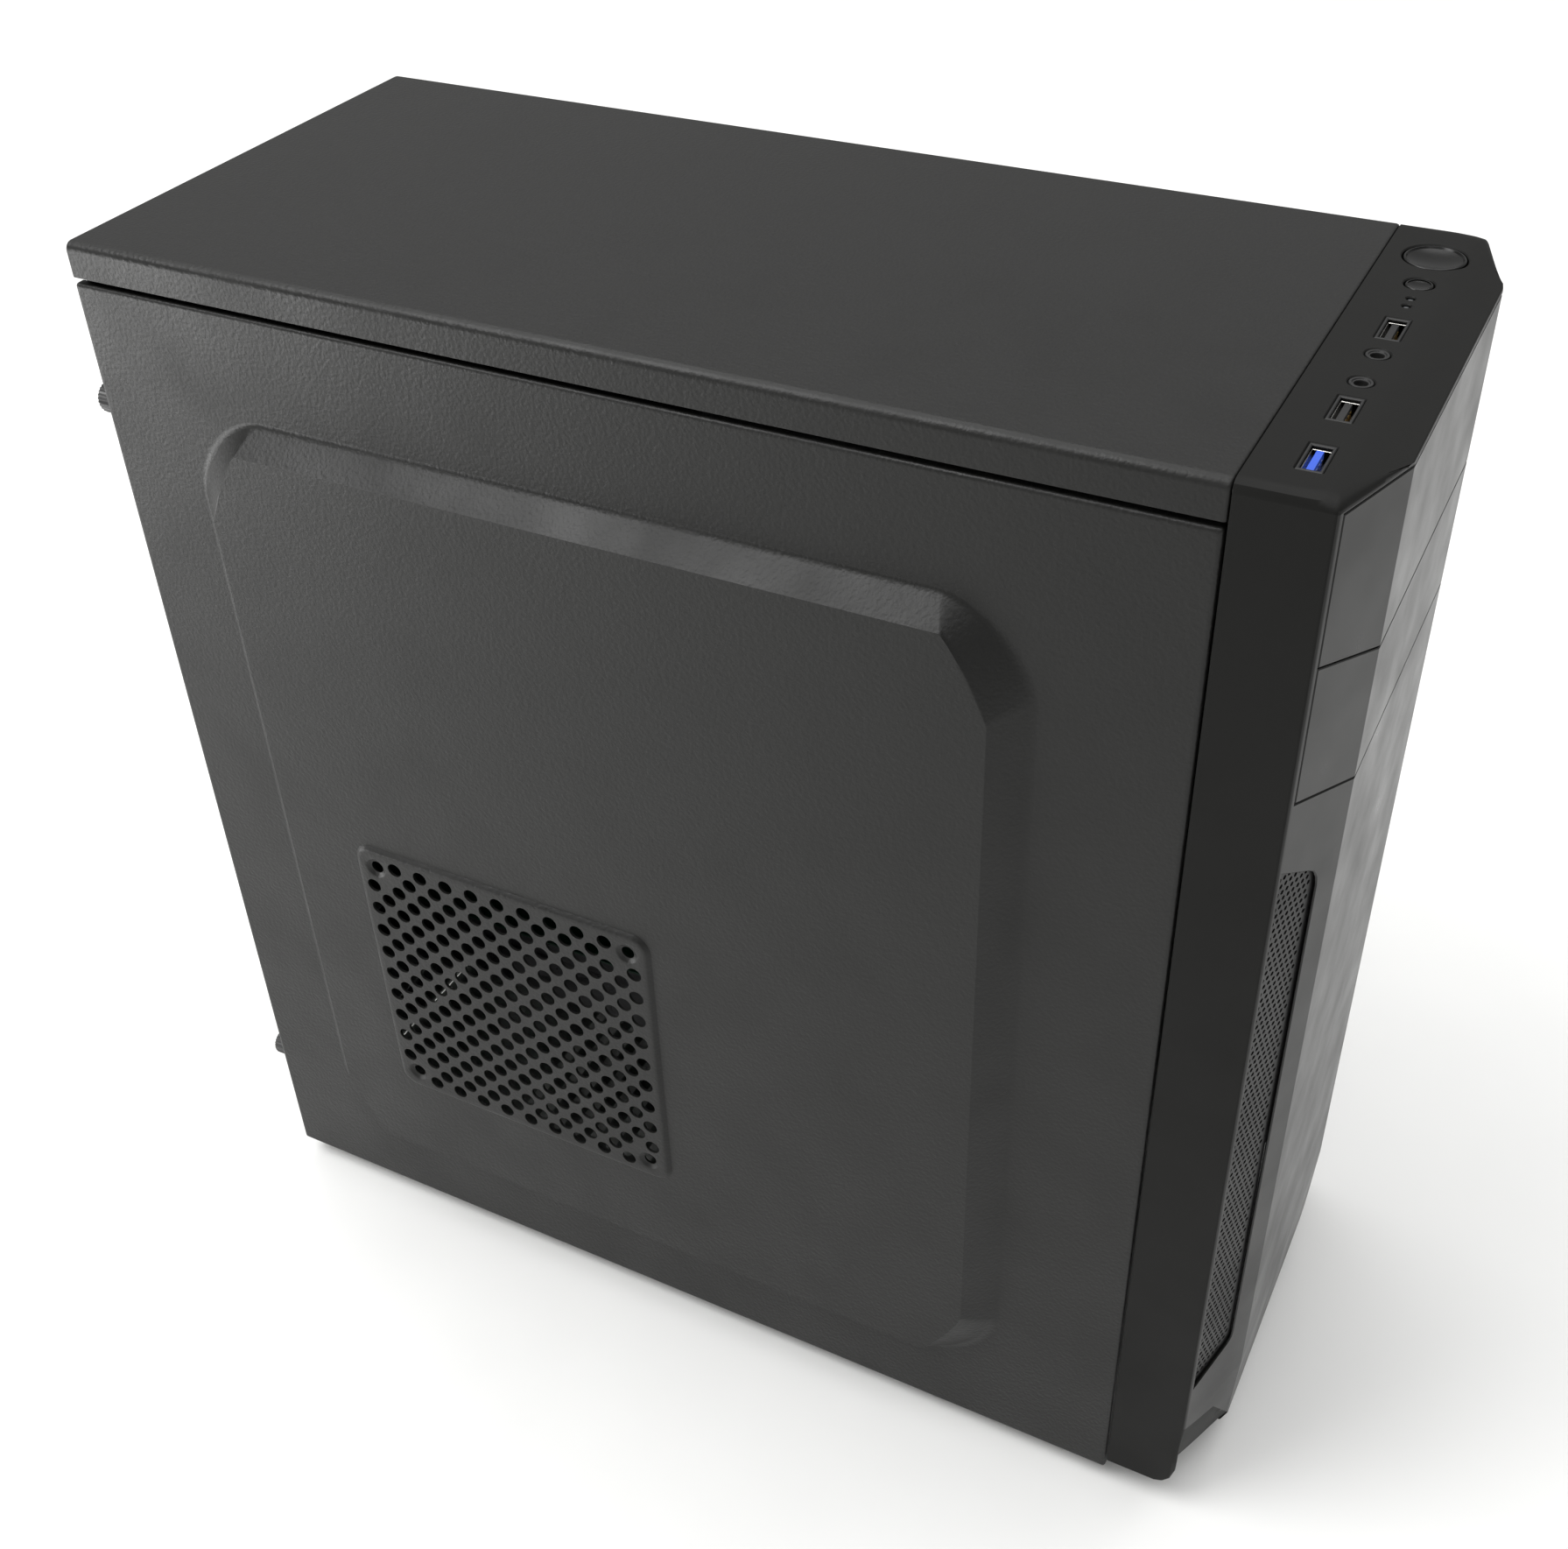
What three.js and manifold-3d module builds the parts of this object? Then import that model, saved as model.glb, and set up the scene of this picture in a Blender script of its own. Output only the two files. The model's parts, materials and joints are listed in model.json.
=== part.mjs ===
// A midi tower desktop computer: folded steel case, moulded front bezel and the parts it holds.
// Millimetres, +Z up, the bezel faces -Y. The pieces are drawn in the case frame, whose origin is
// on the seam between steel and bezel, midway across, at the underside of the steel body. The
// outer group then moves that frame so that the origin is under the middle of the whole tower.
import * as THREE from "three";
import { mergeVertices } from "three/addons/utils/BufferGeometryUtils.js";
import Module from "manifold-3d";

const wasm = await Module();
wasm.setup();

// Steel body
const CASE_W = 175;
const CASE_D = 371.5;
const CASE_H = 412;
const SHEET = 1;
const GAP = 0.3;
const HALF_W = CASE_W / 2;
const FLANGE_H = 11.4;
const FOLD_R = 3;
const FOOT_H = 8;
const FOOT_R = 11;
const FOOT_X = 58;
const FOOT_Y = [38, 330];

// Chassis planes inside the skins
const CHASSIS_X = 83.5;
const PANEL_TOP = CASE_H - FLANGE_H - 2;
const HEM_X = 84;
const FRONT_Y = 2.2;
const REAR_Y = 368.9;
const CHASSIS_TOP = CASE_H - SHEET - GAP;
const STIFFENER = 12;

// Side panel pressing: a bulge with sloping walls, and a raised vent for a 120 mm fan
const BULGE = { y0: 44, y1: 337, z0: 31, z1: 363.5, height: 9, slope: 10, radius: 32 };
const VENT = { y: 234, z: 142.5, size: 123, rise: 1.5, slots: 11, pitch: 10.7, slotW: 5.2, slotL: 104 };

// Thumbscrews at the rear edge
const SCREW_X = 77;
const SCREW_Z = [47, 353];
const SCREW_HEAD_R = 5.5;
const SCREW_HEAD_L = 9.9;
const SCREW_SHANK_R = 1.6;
const SCREW_HOLE_R = 2.2;

// Front bezel: flat side walls, slanted cheeks and a flat face
const BEZEL_SIDE = 26;
const BEZEL_DEEP = 36.3;
const BEZEL_FACE_X = 55;
const BEZEL_WALL = 2.5;
const BEZEL_Z0 = 5;
const CHIN_TOP = 55;
const CHIN_BACK = 2;
const CHEEK_ANGLE = Math.atan2(BEZEL_DEEP - BEZEL_SIDE, HALF_W - BEZEL_FACE_X);
const RIM_X = 85.2;

// Covers of the two 5.25 inch bays, with edges that dip towards the middle
const BAY_TOP = 408.5;
const BAY_EDGE_Z = [364, 321];
const BAY_DIP = 9;
const COVER_GAP = 0.4;

// Mesh strip in each cheek, in distances along the cheek
const MESH = { u0: 2.2, u1: 23.5, z0: 64, z1: 299, cut: 14, rib: 4, pitch: 14 };

// Controls on the bezel's top strip
const STRIP_Y = -15;
const POWER = { x: 64, r: 9, flange: 10.4 };
const RESET = { x: 43.4, r: 4, flange: 5.2 };
const LED_X = [32.7, 27.4];
const LED_R = 1.15;
const USB_X = [11.3, -40, -67.9];
const USB = { w: 14.4, d: 6.9, h: 14.8, mouthW: 12.5, mouthD: 5.1, tongueD: 1.8 };
const JACK_X = [-5.9, -23.6];
const JACK = { r: 3.4, bore: 1.75, h: 12.5 };
const IO_BOARD_Z = 395;

// Drive cages
const CAGE_L = 150;
const BAY_HALF = 74.4;
const BAY_FLOOR = 317;
const DRIVE_HALF = 52.5;
const DRIVE_Z = [206, 316.7];
const DISK = { w: 101.6, l: 147, h: 26.1, z: 233.5 };

// Main board, its tray and its plug-in parts
const TRAY_X = 68;
const BOARD = { x: 60, t: 1.6, y0: 161, y1: 366, z0: 64, z1: 308 };
const IO_WINDOW = { x0: 19, x1: 63, z0: 147, z1: 305.75 };
const SLOT_Z = 136;
const SLOT_PITCH = 20.32;
const SLOT_COUNT = 7;
const SLOT = { x0: -52, x1: 53, h: 12.7 };
const BRACKET = { x0: -66, x1: 57, w: 18.4, t: 1 };
const CPU = { y: 290, z: 235 };
const MEMORY_Y = [218, 229];
const MEMORY = { tall: 30, thick: 3.6, z0: 170, z1: 303 };
const COOLER = { x0: 15, x1: BOARD.x - 5 - GAP, core: 15, reach: 40, fins: 20 };
const CARD = { x0: -50, x1: 53.7, y0: 180, z: 131, t: 1.6 };
const PORT_BLOCKS = [
  { z0: 150, z1: 187, top: 24 },
  { z0: 192, z1: 209, top: 27 },
  { z0: 213, z1: 228, top: 27 },
  { z0: 233, z1: 270, top: 40 },
  { z0: 277, z1: 299, top: 29 },
];

// Power supply
const PSU = { w: 150, l: 140, h: 86, z: 312.3 };
const INLET = { x: 50, z: 368, switchZ: 337 };
const ROCKER = { y: REAR_Y - 3.6, tilt: (8 * Math.PI) / 180 };

// Fans
const REAR_FAN = { x: -34, z: 240, size: 92, depth: 25, bore: 43.5 };
const FRONT_FAN = { x: 0, z: 120, size: 120, depth: 25, bore: 57 };
const CPU_FAN = { size: 90, depth: 25, bore: 42.5 };
const GRAPHICS_FAN = { x: 2, y: 268, z: 100, depth: 24, bore: 42 };
const PSU_FAN = { x: 0, y: 298, z: PSU.z + 2, depth: 25, bore: 57 };

const black = (shade, roughness) => new THREE.MeshStandardMaterial({
  color: new THREE.Color(shade, shade, shade * 0.95),
  roughness,
  metalness: 0,
});
const painted = black(0.06, 0.5);
const plastic = black(0.03, 0.4);
const glossy = black(0.02, 0.15);
const rubber = black(0.02, 0.9);
const steel = new THREE.MeshStandardMaterial({ color: 0xb4b6b4, roughness: 0.35, metalness: 1 });
const alloy = new THREE.MeshStandardMaterial({ color: 0xc4c6c8, roughness: 0.4, metalness: 1 });
const board = new THREE.MeshStandardMaterial({ color: 0x0d3a24, roughness: 0.5 });
const lens = new THREE.MeshStandardMaterial({ color: 0x22323c, roughness: 0.1 });
const blue = new THREE.MeshStandardMaterial({ color: 0x1740b0, roughness: 0.4 });

// ---- solids -------------------------------------------------------------------------------

function solidOf(geometry) {
  const plain = geometry.index ? geometry.clone() : geometry;
  plain.deleteAttribute("normal");
  plain.deleteAttribute("uv");
  const merged = mergeVertices(plain, 1e-4);
  const mesh = new wasm.Mesh({
    numProp: 3,
    vertProperties: new Float32Array(merged.attributes.position.array),
    triVerts: new Uint32Array(merged.index.array),
  });
  return new wasm.Manifold(mesh);
}

function join(first, ...others) {
  return others.reduce((sum, other) => sum.add(other), first);
}

function cut(body, ...tools) {
  return tools.reduce((rest, tool) => rest.subtract(tool), body);
}

function geometryOf(solid) {
  const mesh = solid.getMesh();
  const geometry = new THREE.BufferGeometry();
  geometry.setAttribute("position", new THREE.BufferAttribute(mesh.vertProperties, 3));
  geometry.setIndex(new THREE.BufferAttribute(mesh.triVerts, 1));
  geometry.computeVertexNormals();
  return geometry;
}

function piece(name, solid, material) {
  const mesh = new THREE.Mesh(geometryOf(solid), material);
  mesh.name = name;
  return mesh;
}

// Box between two corners
function box(x0, x1, y0, y1, z0, z1) {
  const geometry = new THREE.BoxGeometry(x1 - x0, y1 - y0, z1 - z0);
  geometry.translate((x0 + x1) / 2, (y0 + y1) / 2, (z0 + z1) / 2);
  return solidOf(geometry);
}

// Outline drawn in XY, XZ or YZ and given its thickness along the third axis
function extrude(shape, depth, curveSegments = 8) {
  return new THREE.ExtrudeGeometry(shape, { depth, bevelEnabled: false, curveSegments });
}

function slabXY(shape, z0, z1, curveSegments) {
  const geometry = extrude(shape, z1 - z0, curveSegments);
  geometry.translate(0, 0, z0);
  return solidOf(geometry);
}

function slabXZ(shape, y0, y1, curveSegments) {
  const geometry = extrude(shape, y1 - y0, curveSegments);
  geometry.rotateX(Math.PI / 2);
  geometry.translate(0, y1, 0);
  return solidOf(geometry);
}

function slabYZ(shape, x0, x1, curveSegments) {
  const turn = new THREE.Matrix4().makeBasis(
    new THREE.Vector3(0, 1, 0),
    new THREE.Vector3(0, 0, 1),
    new THREE.Vector3(1, 0, 0),
  );
  const geometry = extrude(shape, x1 - x0, curveSegments);
  geometry.applyMatrix4(turn);
  geometry.translate(x0, 0, 0);
  return solidOf(geometry);
}

// Round bar along Z with its base at z0, turned and placed by the caller's matrix
function bar(radius, z0, z1, segments = 24, topRadius = radius) {
  const geometry = new THREE.CylinderGeometry(topRadius, radius, z1 - z0, segments);
  geometry.rotateX(Math.PI / 2);
  geometry.translate(0, 0, (z0 + z1) / 2);
  return geometry;
}

function barZ(x, y, radius, z0, z1, segments) {
  return solidOf(bar(radius, z0, z1, segments).translate(x, y, 0));
}

function barY(x, z, radius, y0, y1, segments) {
  return solidOf(bar(radius, -y1, -y0, segments).rotateX(Math.PI / 2).translate(x, 0, z));
}

function barX(y, z, radius, x0, x1, segments) {
  return solidOf(bar(radius, x0, x1, segments).rotateY(Math.PI / 2).translate(0, y, z));
}

function polygon(points) {
  return new THREE.Shape(points.map(([u, v]) => new THREE.Vector2(u, v)));
}

function rectangle(u0, u1, v0, v1) {
  return polygon([[u0, v0], [u1, v0], [u1, v1], [u0, v1]]);
}

function roundedRectangle(u0, u1, v0, v1, r) {
  const shape = new THREE.Shape();
  shape.moveTo(u0 + r, v0);
  shape.lineTo(u1 - r, v0);
  shape.absarc(u1 - r, v0 + r, r, -Math.PI / 2, 0, false);
  shape.absarc(u1 - r, v1 - r, r, 0, Math.PI / 2, false);
  shape.absarc(u0 + r, v1 - r, r, Math.PI / 2, Math.PI, false);
  shape.absarc(u0 + r, v0 + r, r, Math.PI, Math.PI * 1.5, false);
  return shape;
}

// Closed hull between two outlines of equal length in the planes x0 and x1, both convex
function loftX(outline0, outline1, x0, x1) {
  const n = outline0.length;
  const positions = [
    ...outline0.flatMap(([y, z]) => [x0, y, z]),
    ...outline1.flatMap(([y, z]) => [x1, y, z]),
  ];
  const index = [];
  for (let i = 0; i < n; i += 1) {
    const j = (i + 1) % n;
    index.push(i, j, n + j, i, n + j, n + i);
  }
  for (let i = 1; i < n - 1; i += 1) {
    index.push(0, i + 1, i, n, n + i, n + i + 1);
  }
  if (x1 < x0) {
    index.reverse();
  }
  const geometry = new THREE.BufferGeometry();
  geometry.setAttribute("position", new THREE.Float32BufferAttribute(positions, 3));
  geometry.setIndex(index);
  return solidOf(geometry);
}

// Points of a rectangle with elliptic corners
function softOutline(y0, y1, z0, z1, ry, rz, steps = 6) {
  const corners = [[y1 - ry, z1 - rz, 0], [y0 + ry, z1 - rz, 1], [y0 + ry, z0 + rz, 2], [y1 - ry, z0 + rz, 3]];
  return corners.flatMap(([cy, cz, quarter]) => Array.from({ length: steps + 1 }, (_, i) => {
    const angle = (quarter + i / steps) * (Math.PI / 2);
    return [cy + ry * Math.cos(angle), cz + rz * Math.sin(angle)];
  }));
}

// ---- case ---------------------------------------------------------------------------------

// Upright end view of a folded cover: straight legs and round shoulders
function arch(half, z0, z1, r) {
  const shape = new THREE.Shape();
  shape.moveTo(-half, z0);
  shape.lineTo(half, z0);
  shape.absarc(half - r, z1 - r, r, 0, Math.PI / 2, false);
  shape.absarc(r - half, z1 - r, r, Math.PI / 2, Math.PI, false);
  return shape;
}

function topCover() {
  const low = CASE_H - FLANGE_H;
  const block = slabXZ(arch(HALF_W, low, CASE_H, FOLD_R), 0, CASE_D, 4);
  const inside = arch(HALF_W - SHEET, low - 5, CASE_H - SHEET, FOLD_R - SHEET);
  return cut(block, slabXZ(inside, SHEET, CASE_D - SHEET, 4));
}

function bottomPan() {
  const y0 = FRONT_Y + SHEET + GAP;
  const y1 = REAR_Y - GAP;
  const floor = box(-CHASSIS_X, CHASSIS_X, y0, y1, 0, SHEET);
  const walls = [-1, 1].map((side) => {
    const outer = side * CHASSIS_X;
    const inner = side * (CHASSIS_X - SHEET);
    return box(Math.min(outer, inner), Math.max(outer, inner), y0, y1, 0, STIFFENER);
  });
  return join(floor, ...walls);
}

// Fold along each side of an upright end plate
function stiffeners(y0, y1) {
  return [-1, 1].map((side) => {
    const outer = side * CHASSIS_X;
    const inner = side * (CHASSIS_X - SHEET);
    const z0 = STIFFENER + GAP;
    return box(Math.min(outer, inner), Math.max(outer, inner), y0, y1, z0, PANEL_TOP);
  });
}

function slotCentre(index) {
  return SLOT_Z - SLOT_PITCH * index;
}

function rearPanel() {
  const plate = slabXZ(rectangle(-CHASSIS_X, CHASSIS_X, 0, CHASSIS_TOP), REAR_Y, REAR_Y + SHEET);
  const through = (x0, x1, z0, z1) => box(x0, x1, REAR_Y - 1, REAR_Y + 2, z0, z1);
  const psu = through(-70, 70, PSU.z + 5, PSU.z + PSU.h - 5);
  const ports = through(IO_WINDOW.x0, IO_WINDOW.x1, IO_WINDOW.z0, IO_WINDOW.z1);
  const slots = Array.from({ length: SLOT_COUNT }, (_, i) => {
    const z = slotCentre(i);
    return through(SLOT.x0, SLOT.x1, z - SLOT.h / 2, z + SLOT.h / 2);
  });
  const louvres = [-3, -2, -1, 0, 1, 2, 3].map((step) => {
    const z = REAR_FAN.z + step * 11;
    const half = Math.sqrt(42 ** 2 - (step * 11) ** 2);
    return through(REAR_FAN.x - half, REAR_FAN.x + half, z - 3.6, z + 3.6);
  });
  const holes = [-1, 1].flatMap((side) => SCREW_Z.map((z) => (
    barY(side * SCREW_X, z, SCREW_HOLE_R, REAR_Y - 1, REAR_Y + 2, 16)
  )));
  const panel = join(plate, ...stiffeners(REAR_Y - STIFFENER, REAR_Y + SHEET / 2));
  return cut(panel, psu, ports, ...slots, ...louvres, ...holes);
}

function frontFrame() {
  const plate = slabXZ(rectangle(-CHASSIS_X, CHASSIS_X, 0, PANEL_TOP), FRONT_Y, FRONT_Y + SHEET);
  const bays = box(-BAY_HALF + 1, BAY_HALF - 1, 0, 6, BAY_FLOOR + 1.5, CASE_H);
  const air = barY(FRONT_FAN.x, FRONT_FAN.z, FRONT_FAN.bore, 0, 6, 32);
  const frame = join(plate, ...stiffeners(FRONT_Y + SHEET / 2, FRONT_Y + STIFFENER));
  return cut(frame, bays, air);
}

// Cross rail that closes the front frame above the drive bays
function frontRail() {
  return box(-CHASSIS_X, CHASSIS_X, FRONT_Y, FRONT_Y + SHEET, PANEL_TOP + GAP, CHASSIS_TOP);
}

function boardTray() {
  const z1 = PSU.z - 1.3;
  const z0 = SHEET + GAP;
  const plate = box(TRAY_X, TRAY_X + SHEET, CAGE_L + 6, REAR_Y - GAP, z0, z1);
  const fold = box(TRAY_X, CHASSIS_X - SHEET - GAP, CAGE_L + 6, CAGE_L + 6 + SHEET, z0, z1);
  return join(plate, fold);
}

function opticalCage() {
  const y0 = FRONT_Y + SHEET + GAP;
  const floor = box(-BAY_HALF, BAY_HALF, y0, y0 + CAGE_L, BAY_FLOOR, BAY_FLOOR + SHEET);
  const wall = (x) => box(x, x + SHEET, y0, y0 + CAGE_L, BAY_FLOOR, CHASSIS_TOP - 1);
  return join(floor, wall(-BAY_HALF), wall(BAY_HALF - SHEET));
}

function driveCage() {
  const y0 = FRONT_Y + SHEET + GAP;
  const [z0, z1] = DRIVE_Z;
  const tube = rectangle(-DRIVE_HALF, DRIVE_HALF, z0, z1);
  tube.holes.push(rectangle(-DRIVE_HALF + SHEET, DRIVE_HALF - SHEET, z0 + SHEET, z1 - SHEET));
  return slabXZ(tube, y0, y0 + CAGE_L);
}

function foot(x, y) {
  const geometry = bar(FOOT_R - 1.5, -FOOT_H, -GAP, 24, FOOT_R);
  return solidOf(geometry.translate(x, y, 0));
}

// Half of the skin pair; side is -1 on the left and 1 on the right
function sidePanel(side, vented) {
  const outer = HALF_W;
  const inner = HALF_W - SHEET;
  const span = (a, b) => [Math.min(side * a, side * b), Math.max(side * a, side * b)];
  const slab = (a, b, y0, y1, z0, z1) => box(...span(a, b), y0, y1, z0, z1);
  const sheet = slabYZ(roundedRectangle(GAP, CASE_D, 0, PANEL_TOP, 4), ...span(inner, outer), 3);
  const hems = [
    slab(HEM_X, inner + 0.3, 5, REAR_Y, PANEL_TOP - SHEET, PANEL_TOP),
    slab(HEM_X, inner + 0.3, 5, REAR_Y, 0, SHEET),
    slab(HEM_X, inner + 0.3, GAP, GAP + SHEET, 5, PANEL_TOP - 5),
    slab(SCREW_X - 11, inner + 0.3, CASE_D - SHEET, CASE_D, 14, PANEL_TOP - 14),
  ];
  const { y0, y1, z0, z1, height, slope, radius } = BULGE;
  const outline = (inset, r) => (
    softOutline(y0 + inset, y1 - inset, z0 + inset, z1 - inset, r * 0.7, r)
  );
  const base = softOutline(y0, y1, z0, z1, radius, radius);
  const rise = (x) => side * (outer + x);
  const bulge = loftX(base, outline(slope, radius - 6), rise(-0.5), rise(height));
  const hollow = loftX(
    softOutline(y0 + 1, y1 - 1, z0 + 1, z1 - 1, radius - 1, radius - 1),
    outline(slope + 0.5, radius - 6),
    rise(-SHEET - 0.5),
    rise(height - SHEET),
  );
  const holes = SCREW_Z.map((z) => barY(side * SCREW_X, z, SCREW_HOLE_R, CASE_D - 2, CASE_D + 1, 16));
  const plain = cut(join(sheet, ...hems, bulge), hollow, ...holes);
  if (!vented) {
    return plain;
  }
  const half = VENT.size / 2;
  const square = (h, r) => roundedRectangle(VENT.y - h, VENT.y + h, VENT.z - h, VENT.z + h, r);
  const pad = slabYZ(square(half, 6), ...span(outer + height - 0.5, outer + height + VENT.rise), 3);
  const pocketX = span(outer + height - SHEET - 0.5, outer + height + VENT.rise - SHEET);
  const pocket = slabYZ(square(half - 1.5, 5), ...pocketX, 3);
  const slots = Array.from({ length: VENT.slots }, (_, i) => {
    const z = VENT.z + (i - (VENT.slots - 1) / 2) * VENT.pitch;
    const y = VENT.y - VENT.slotL / 2;
    return slab(outer + height - 3, outer + height + 4, y, y + VENT.slotL, z - VENT.slotW / 2, z + VENT.slotW / 2);
  });
  return cut(join(plain, pad), pocket, ...slots);
}

function thumbscrew(x, z) {
  const y0 = CASE_D + GAP;
  const head = barY(x, z, SCREW_HEAD_R, y0, y0 + SCREW_HEAD_L, 16);
  const drive = box(x - 4, x + 4, y0 + SCREW_HEAD_L - 1.5, y0 + SCREW_HEAD_L + 1, z - 0.6, z + 0.6);
  const shank = barY(x, z, SCREW_SHANK_R, y0 - 10, y0 + 1, 12);
  return cut(join(head, shank), drive);
}

// ---- bezel --------------------------------------------------------------------------------

function bezelPlan(inset) {
  const side = HALF_W - inset;
  const shoulder = BEZEL_SIDE - inset * Math.tan(CHEEK_ANGLE / 2) - inset * 0.45;
  const face = BEZEL_FACE_X - inset * Math.tan(CHEEK_ANGLE / 2);
  const deep = BEZEL_DEEP - inset;
  const back = inset > 0 ? 5 : -GAP;
  return polygon([
    [-side, back], [-side, -shoulder], [-face, -deep], [face, -deep], [side, -shoulder], [side, back],
  ]);
}

// Carries a solid drawn along the cheek (u along it, v into the bezel) to its side of the bezel
function onCheek(shape, v0, v1, side) {
  const geometry = extrude(shape, v1 - v0, 5);
  geometry.rotateX(Math.PI / 2);
  geometry.translate(0, v1, 0);
  geometry.rotateZ(-CHEEK_ANGLE);
  geometry.translate(-HALF_W, -BEZEL_SIDE, 0);
  if (side > 0) {
    geometry.scale(-1, 1, 1);
    const flipped = mergeVertices(geometry.deleteAttribute("normal").deleteAttribute("uv"), 1e-4);
    flipped.setIndex(Array.from(flipped.index.array).reverse());
    return solidOf(flipped);
  }
  return solidOf(geometry);
}

function meshOutline(inset) {
  const { u0, u1, z0, z1, cut: corner } = MESH;
  const a = u0 + inset;
  const b = u1 - inset;
  return polygon([
    [a, z0 + inset], [b - 2, z0 + 7 + inset], [b, z0 + 12], [b, z1 - corner], [b - 6, z1 - inset - 3], [a, z1 - inset],
  ]);
}

function bezelMesh(side) {
  const plate = onCheek(meshOutline(GAP), 1.2, 2.4, side);
  const count = Math.floor((MESH.z1 - MESH.z0 - 40) / MESH.pitch);
  const slots = Array.from({ length: count }, (_, i) => {
    const z = MESH.z0 + 22 + i * MESH.pitch;
    return onCheek(rectangle(MESH.u0 + 3, MESH.u1 - 3, z, z + MESH.pitch - MESH.rib), 0, 4, side);
  });
  return cut(plate, ...slots);
}

// Front outline of one bay cover between two edges that dip towards the middle
function bayOutline(top, bottom, topDip, gap) {
  const x = RIM_X - gap;
  const face = BEZEL_FACE_X;
  return polygon([
    [-x, bottom + gap], [-face, bottom - BAY_DIP + gap], [face, bottom - BAY_DIP + gap], [x, bottom + gap],
    [x, top - gap], [face, top - topDip - gap], [-face, top - topDip - gap], [-x, top - gap],
  ]);
}

function bayCover(index) {
  const top = index === 0 ? BAY_TOP : BAY_EDGE_Z[0];
  const dip = index === 0 ? 0 : BAY_DIP;
  const outline = bayOutline(top, BAY_EDGE_Z[index], dip, COVER_GAP);
  const band = cut(
    slabXY(bezelPlan(0), 300, 410),
    slabXY(bezelPlan(BEZEL_WALL), 299, 411),
  );
  return band.intersect(slabXZ(outline, -BEZEL_DEEP - 1, -BEZEL_SIDE + BEZEL_WALL + 1));
}

function frontBezel() {
  const shell = slabXY(bezelPlan(0), BEZEL_Z0, CASE_H);
  const hollow = slabXY(bezelPlan(BEZEL_WALL), BEZEL_Z0 + BEZEL_WALL + 6, CASE_H - BEZEL_WALL);
  const chin = slabYZ(polygon([
    [-BEZEL_DEEP - 5, CHIN_TOP], [-BEZEL_DEEP, CHIN_TOP], [-BEZEL_DEEP + CHIN_BACK, BEZEL_Z0 + 5],
    [-BEZEL_SIDE, BEZEL_Z0], [-BEZEL_SIDE, BEZEL_Z0 - 5], [-BEZEL_DEEP - 5, BEZEL_Z0 - 5],
  ]), -100, 100);
  const bays = slabXZ(bayOutline(BAY_TOP, BAY_EDGE_Z[1], 0, 0), -BEZEL_DEEP - 1, -BEZEL_SIDE + 4);
  const cheeks = [-1, 1].map((side) => onCheek(meshOutline(0), -2, 5, side));
  const top = CASE_H - BEZEL_WALL - 2;
  const round = (x, r) => barZ(x, STRIP_Y, r, top, CASE_H + 1, r > 3 ? 32 : 16);
  const holes = [
    round(POWER.x, POWER.r + 0.4),
    round(RESET.x, RESET.r + 0.35),
    ...LED_X.map((x) => round(x, LED_R + GAP)),
    ...JACK_X.map((x) => round(x, JACK.r + GAP)),
    ...USB_X.map((x) => box(
      x - USB.w / 2 - GAP,
      x + USB.w / 2 + GAP,
      STRIP_Y - USB.d / 2 - GAP,
      STRIP_Y + USB.d / 2 + GAP,
      top,
      CASE_H + 1,
    )),
  ];
  return cut(shell, hollow, chin, bays, ...cheeks, ...holes);
}

// Round push button with a dished top and a collar that keeps it in the bezel
function pushButton({ x, r, flange }) {
  const z0 = CASE_H - 8;
  const collar = CASE_H - BEZEL_WALL - 0.6;
  const profile = [
    [0, z0], [flange, z0], [flange, collar], [r, collar], [r, CASE_H - 0.4],
    [r * 0.9, CASE_H], [r * 0.6, CASE_H - r * 0.06], [r * 0.3, CASE_H - r * 0.1], [0, CASE_H - r * 0.11],
  ].map(([radius, z]) => new THREE.Vector2(radius, z));
  const geometry = new THREE.LatheGeometry(profile, 28);
  geometry.rotateX(Math.PI / 2);
  return solidOf(geometry.translate(x, STRIP_Y, 0));
}

function usbPort(x) {
  const z1 = CASE_H - 0.1;
  const z0 = z1 - USB.h;
  const y0 = STRIP_Y - USB.d / 2;
  const shell = box(x - USB.w / 2, x + USB.w / 2, y0, y0 + USB.d, z0, z1);
  const mouthY = STRIP_Y - USB.mouthD / 2;
  const mouth = box(x - USB.mouthW / 2, x + USB.mouthW / 2, mouthY, mouthY + USB.mouthD, z0 + 2, z1 + 1);
  const tongueY = mouthY + 0.6;
  const tongue = box(x - 5.5, x + 5.5, tongueY, tongueY + USB.tongueD, z0 + 1, z1 - 1);
  return join(cut(shell, mouth), tongue);
}

function audioJack(x) {
  const z1 = CASE_H - 0.1;
  const body = barZ(x, STRIP_Y, JACK.r, z1 - JACK.h, z1, 20);
  const bore = barZ(x, STRIP_Y, JACK.bore, z1 - JACK.h + 2, z1 + 1, 16);
  return cut(body, bore);
}

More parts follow.
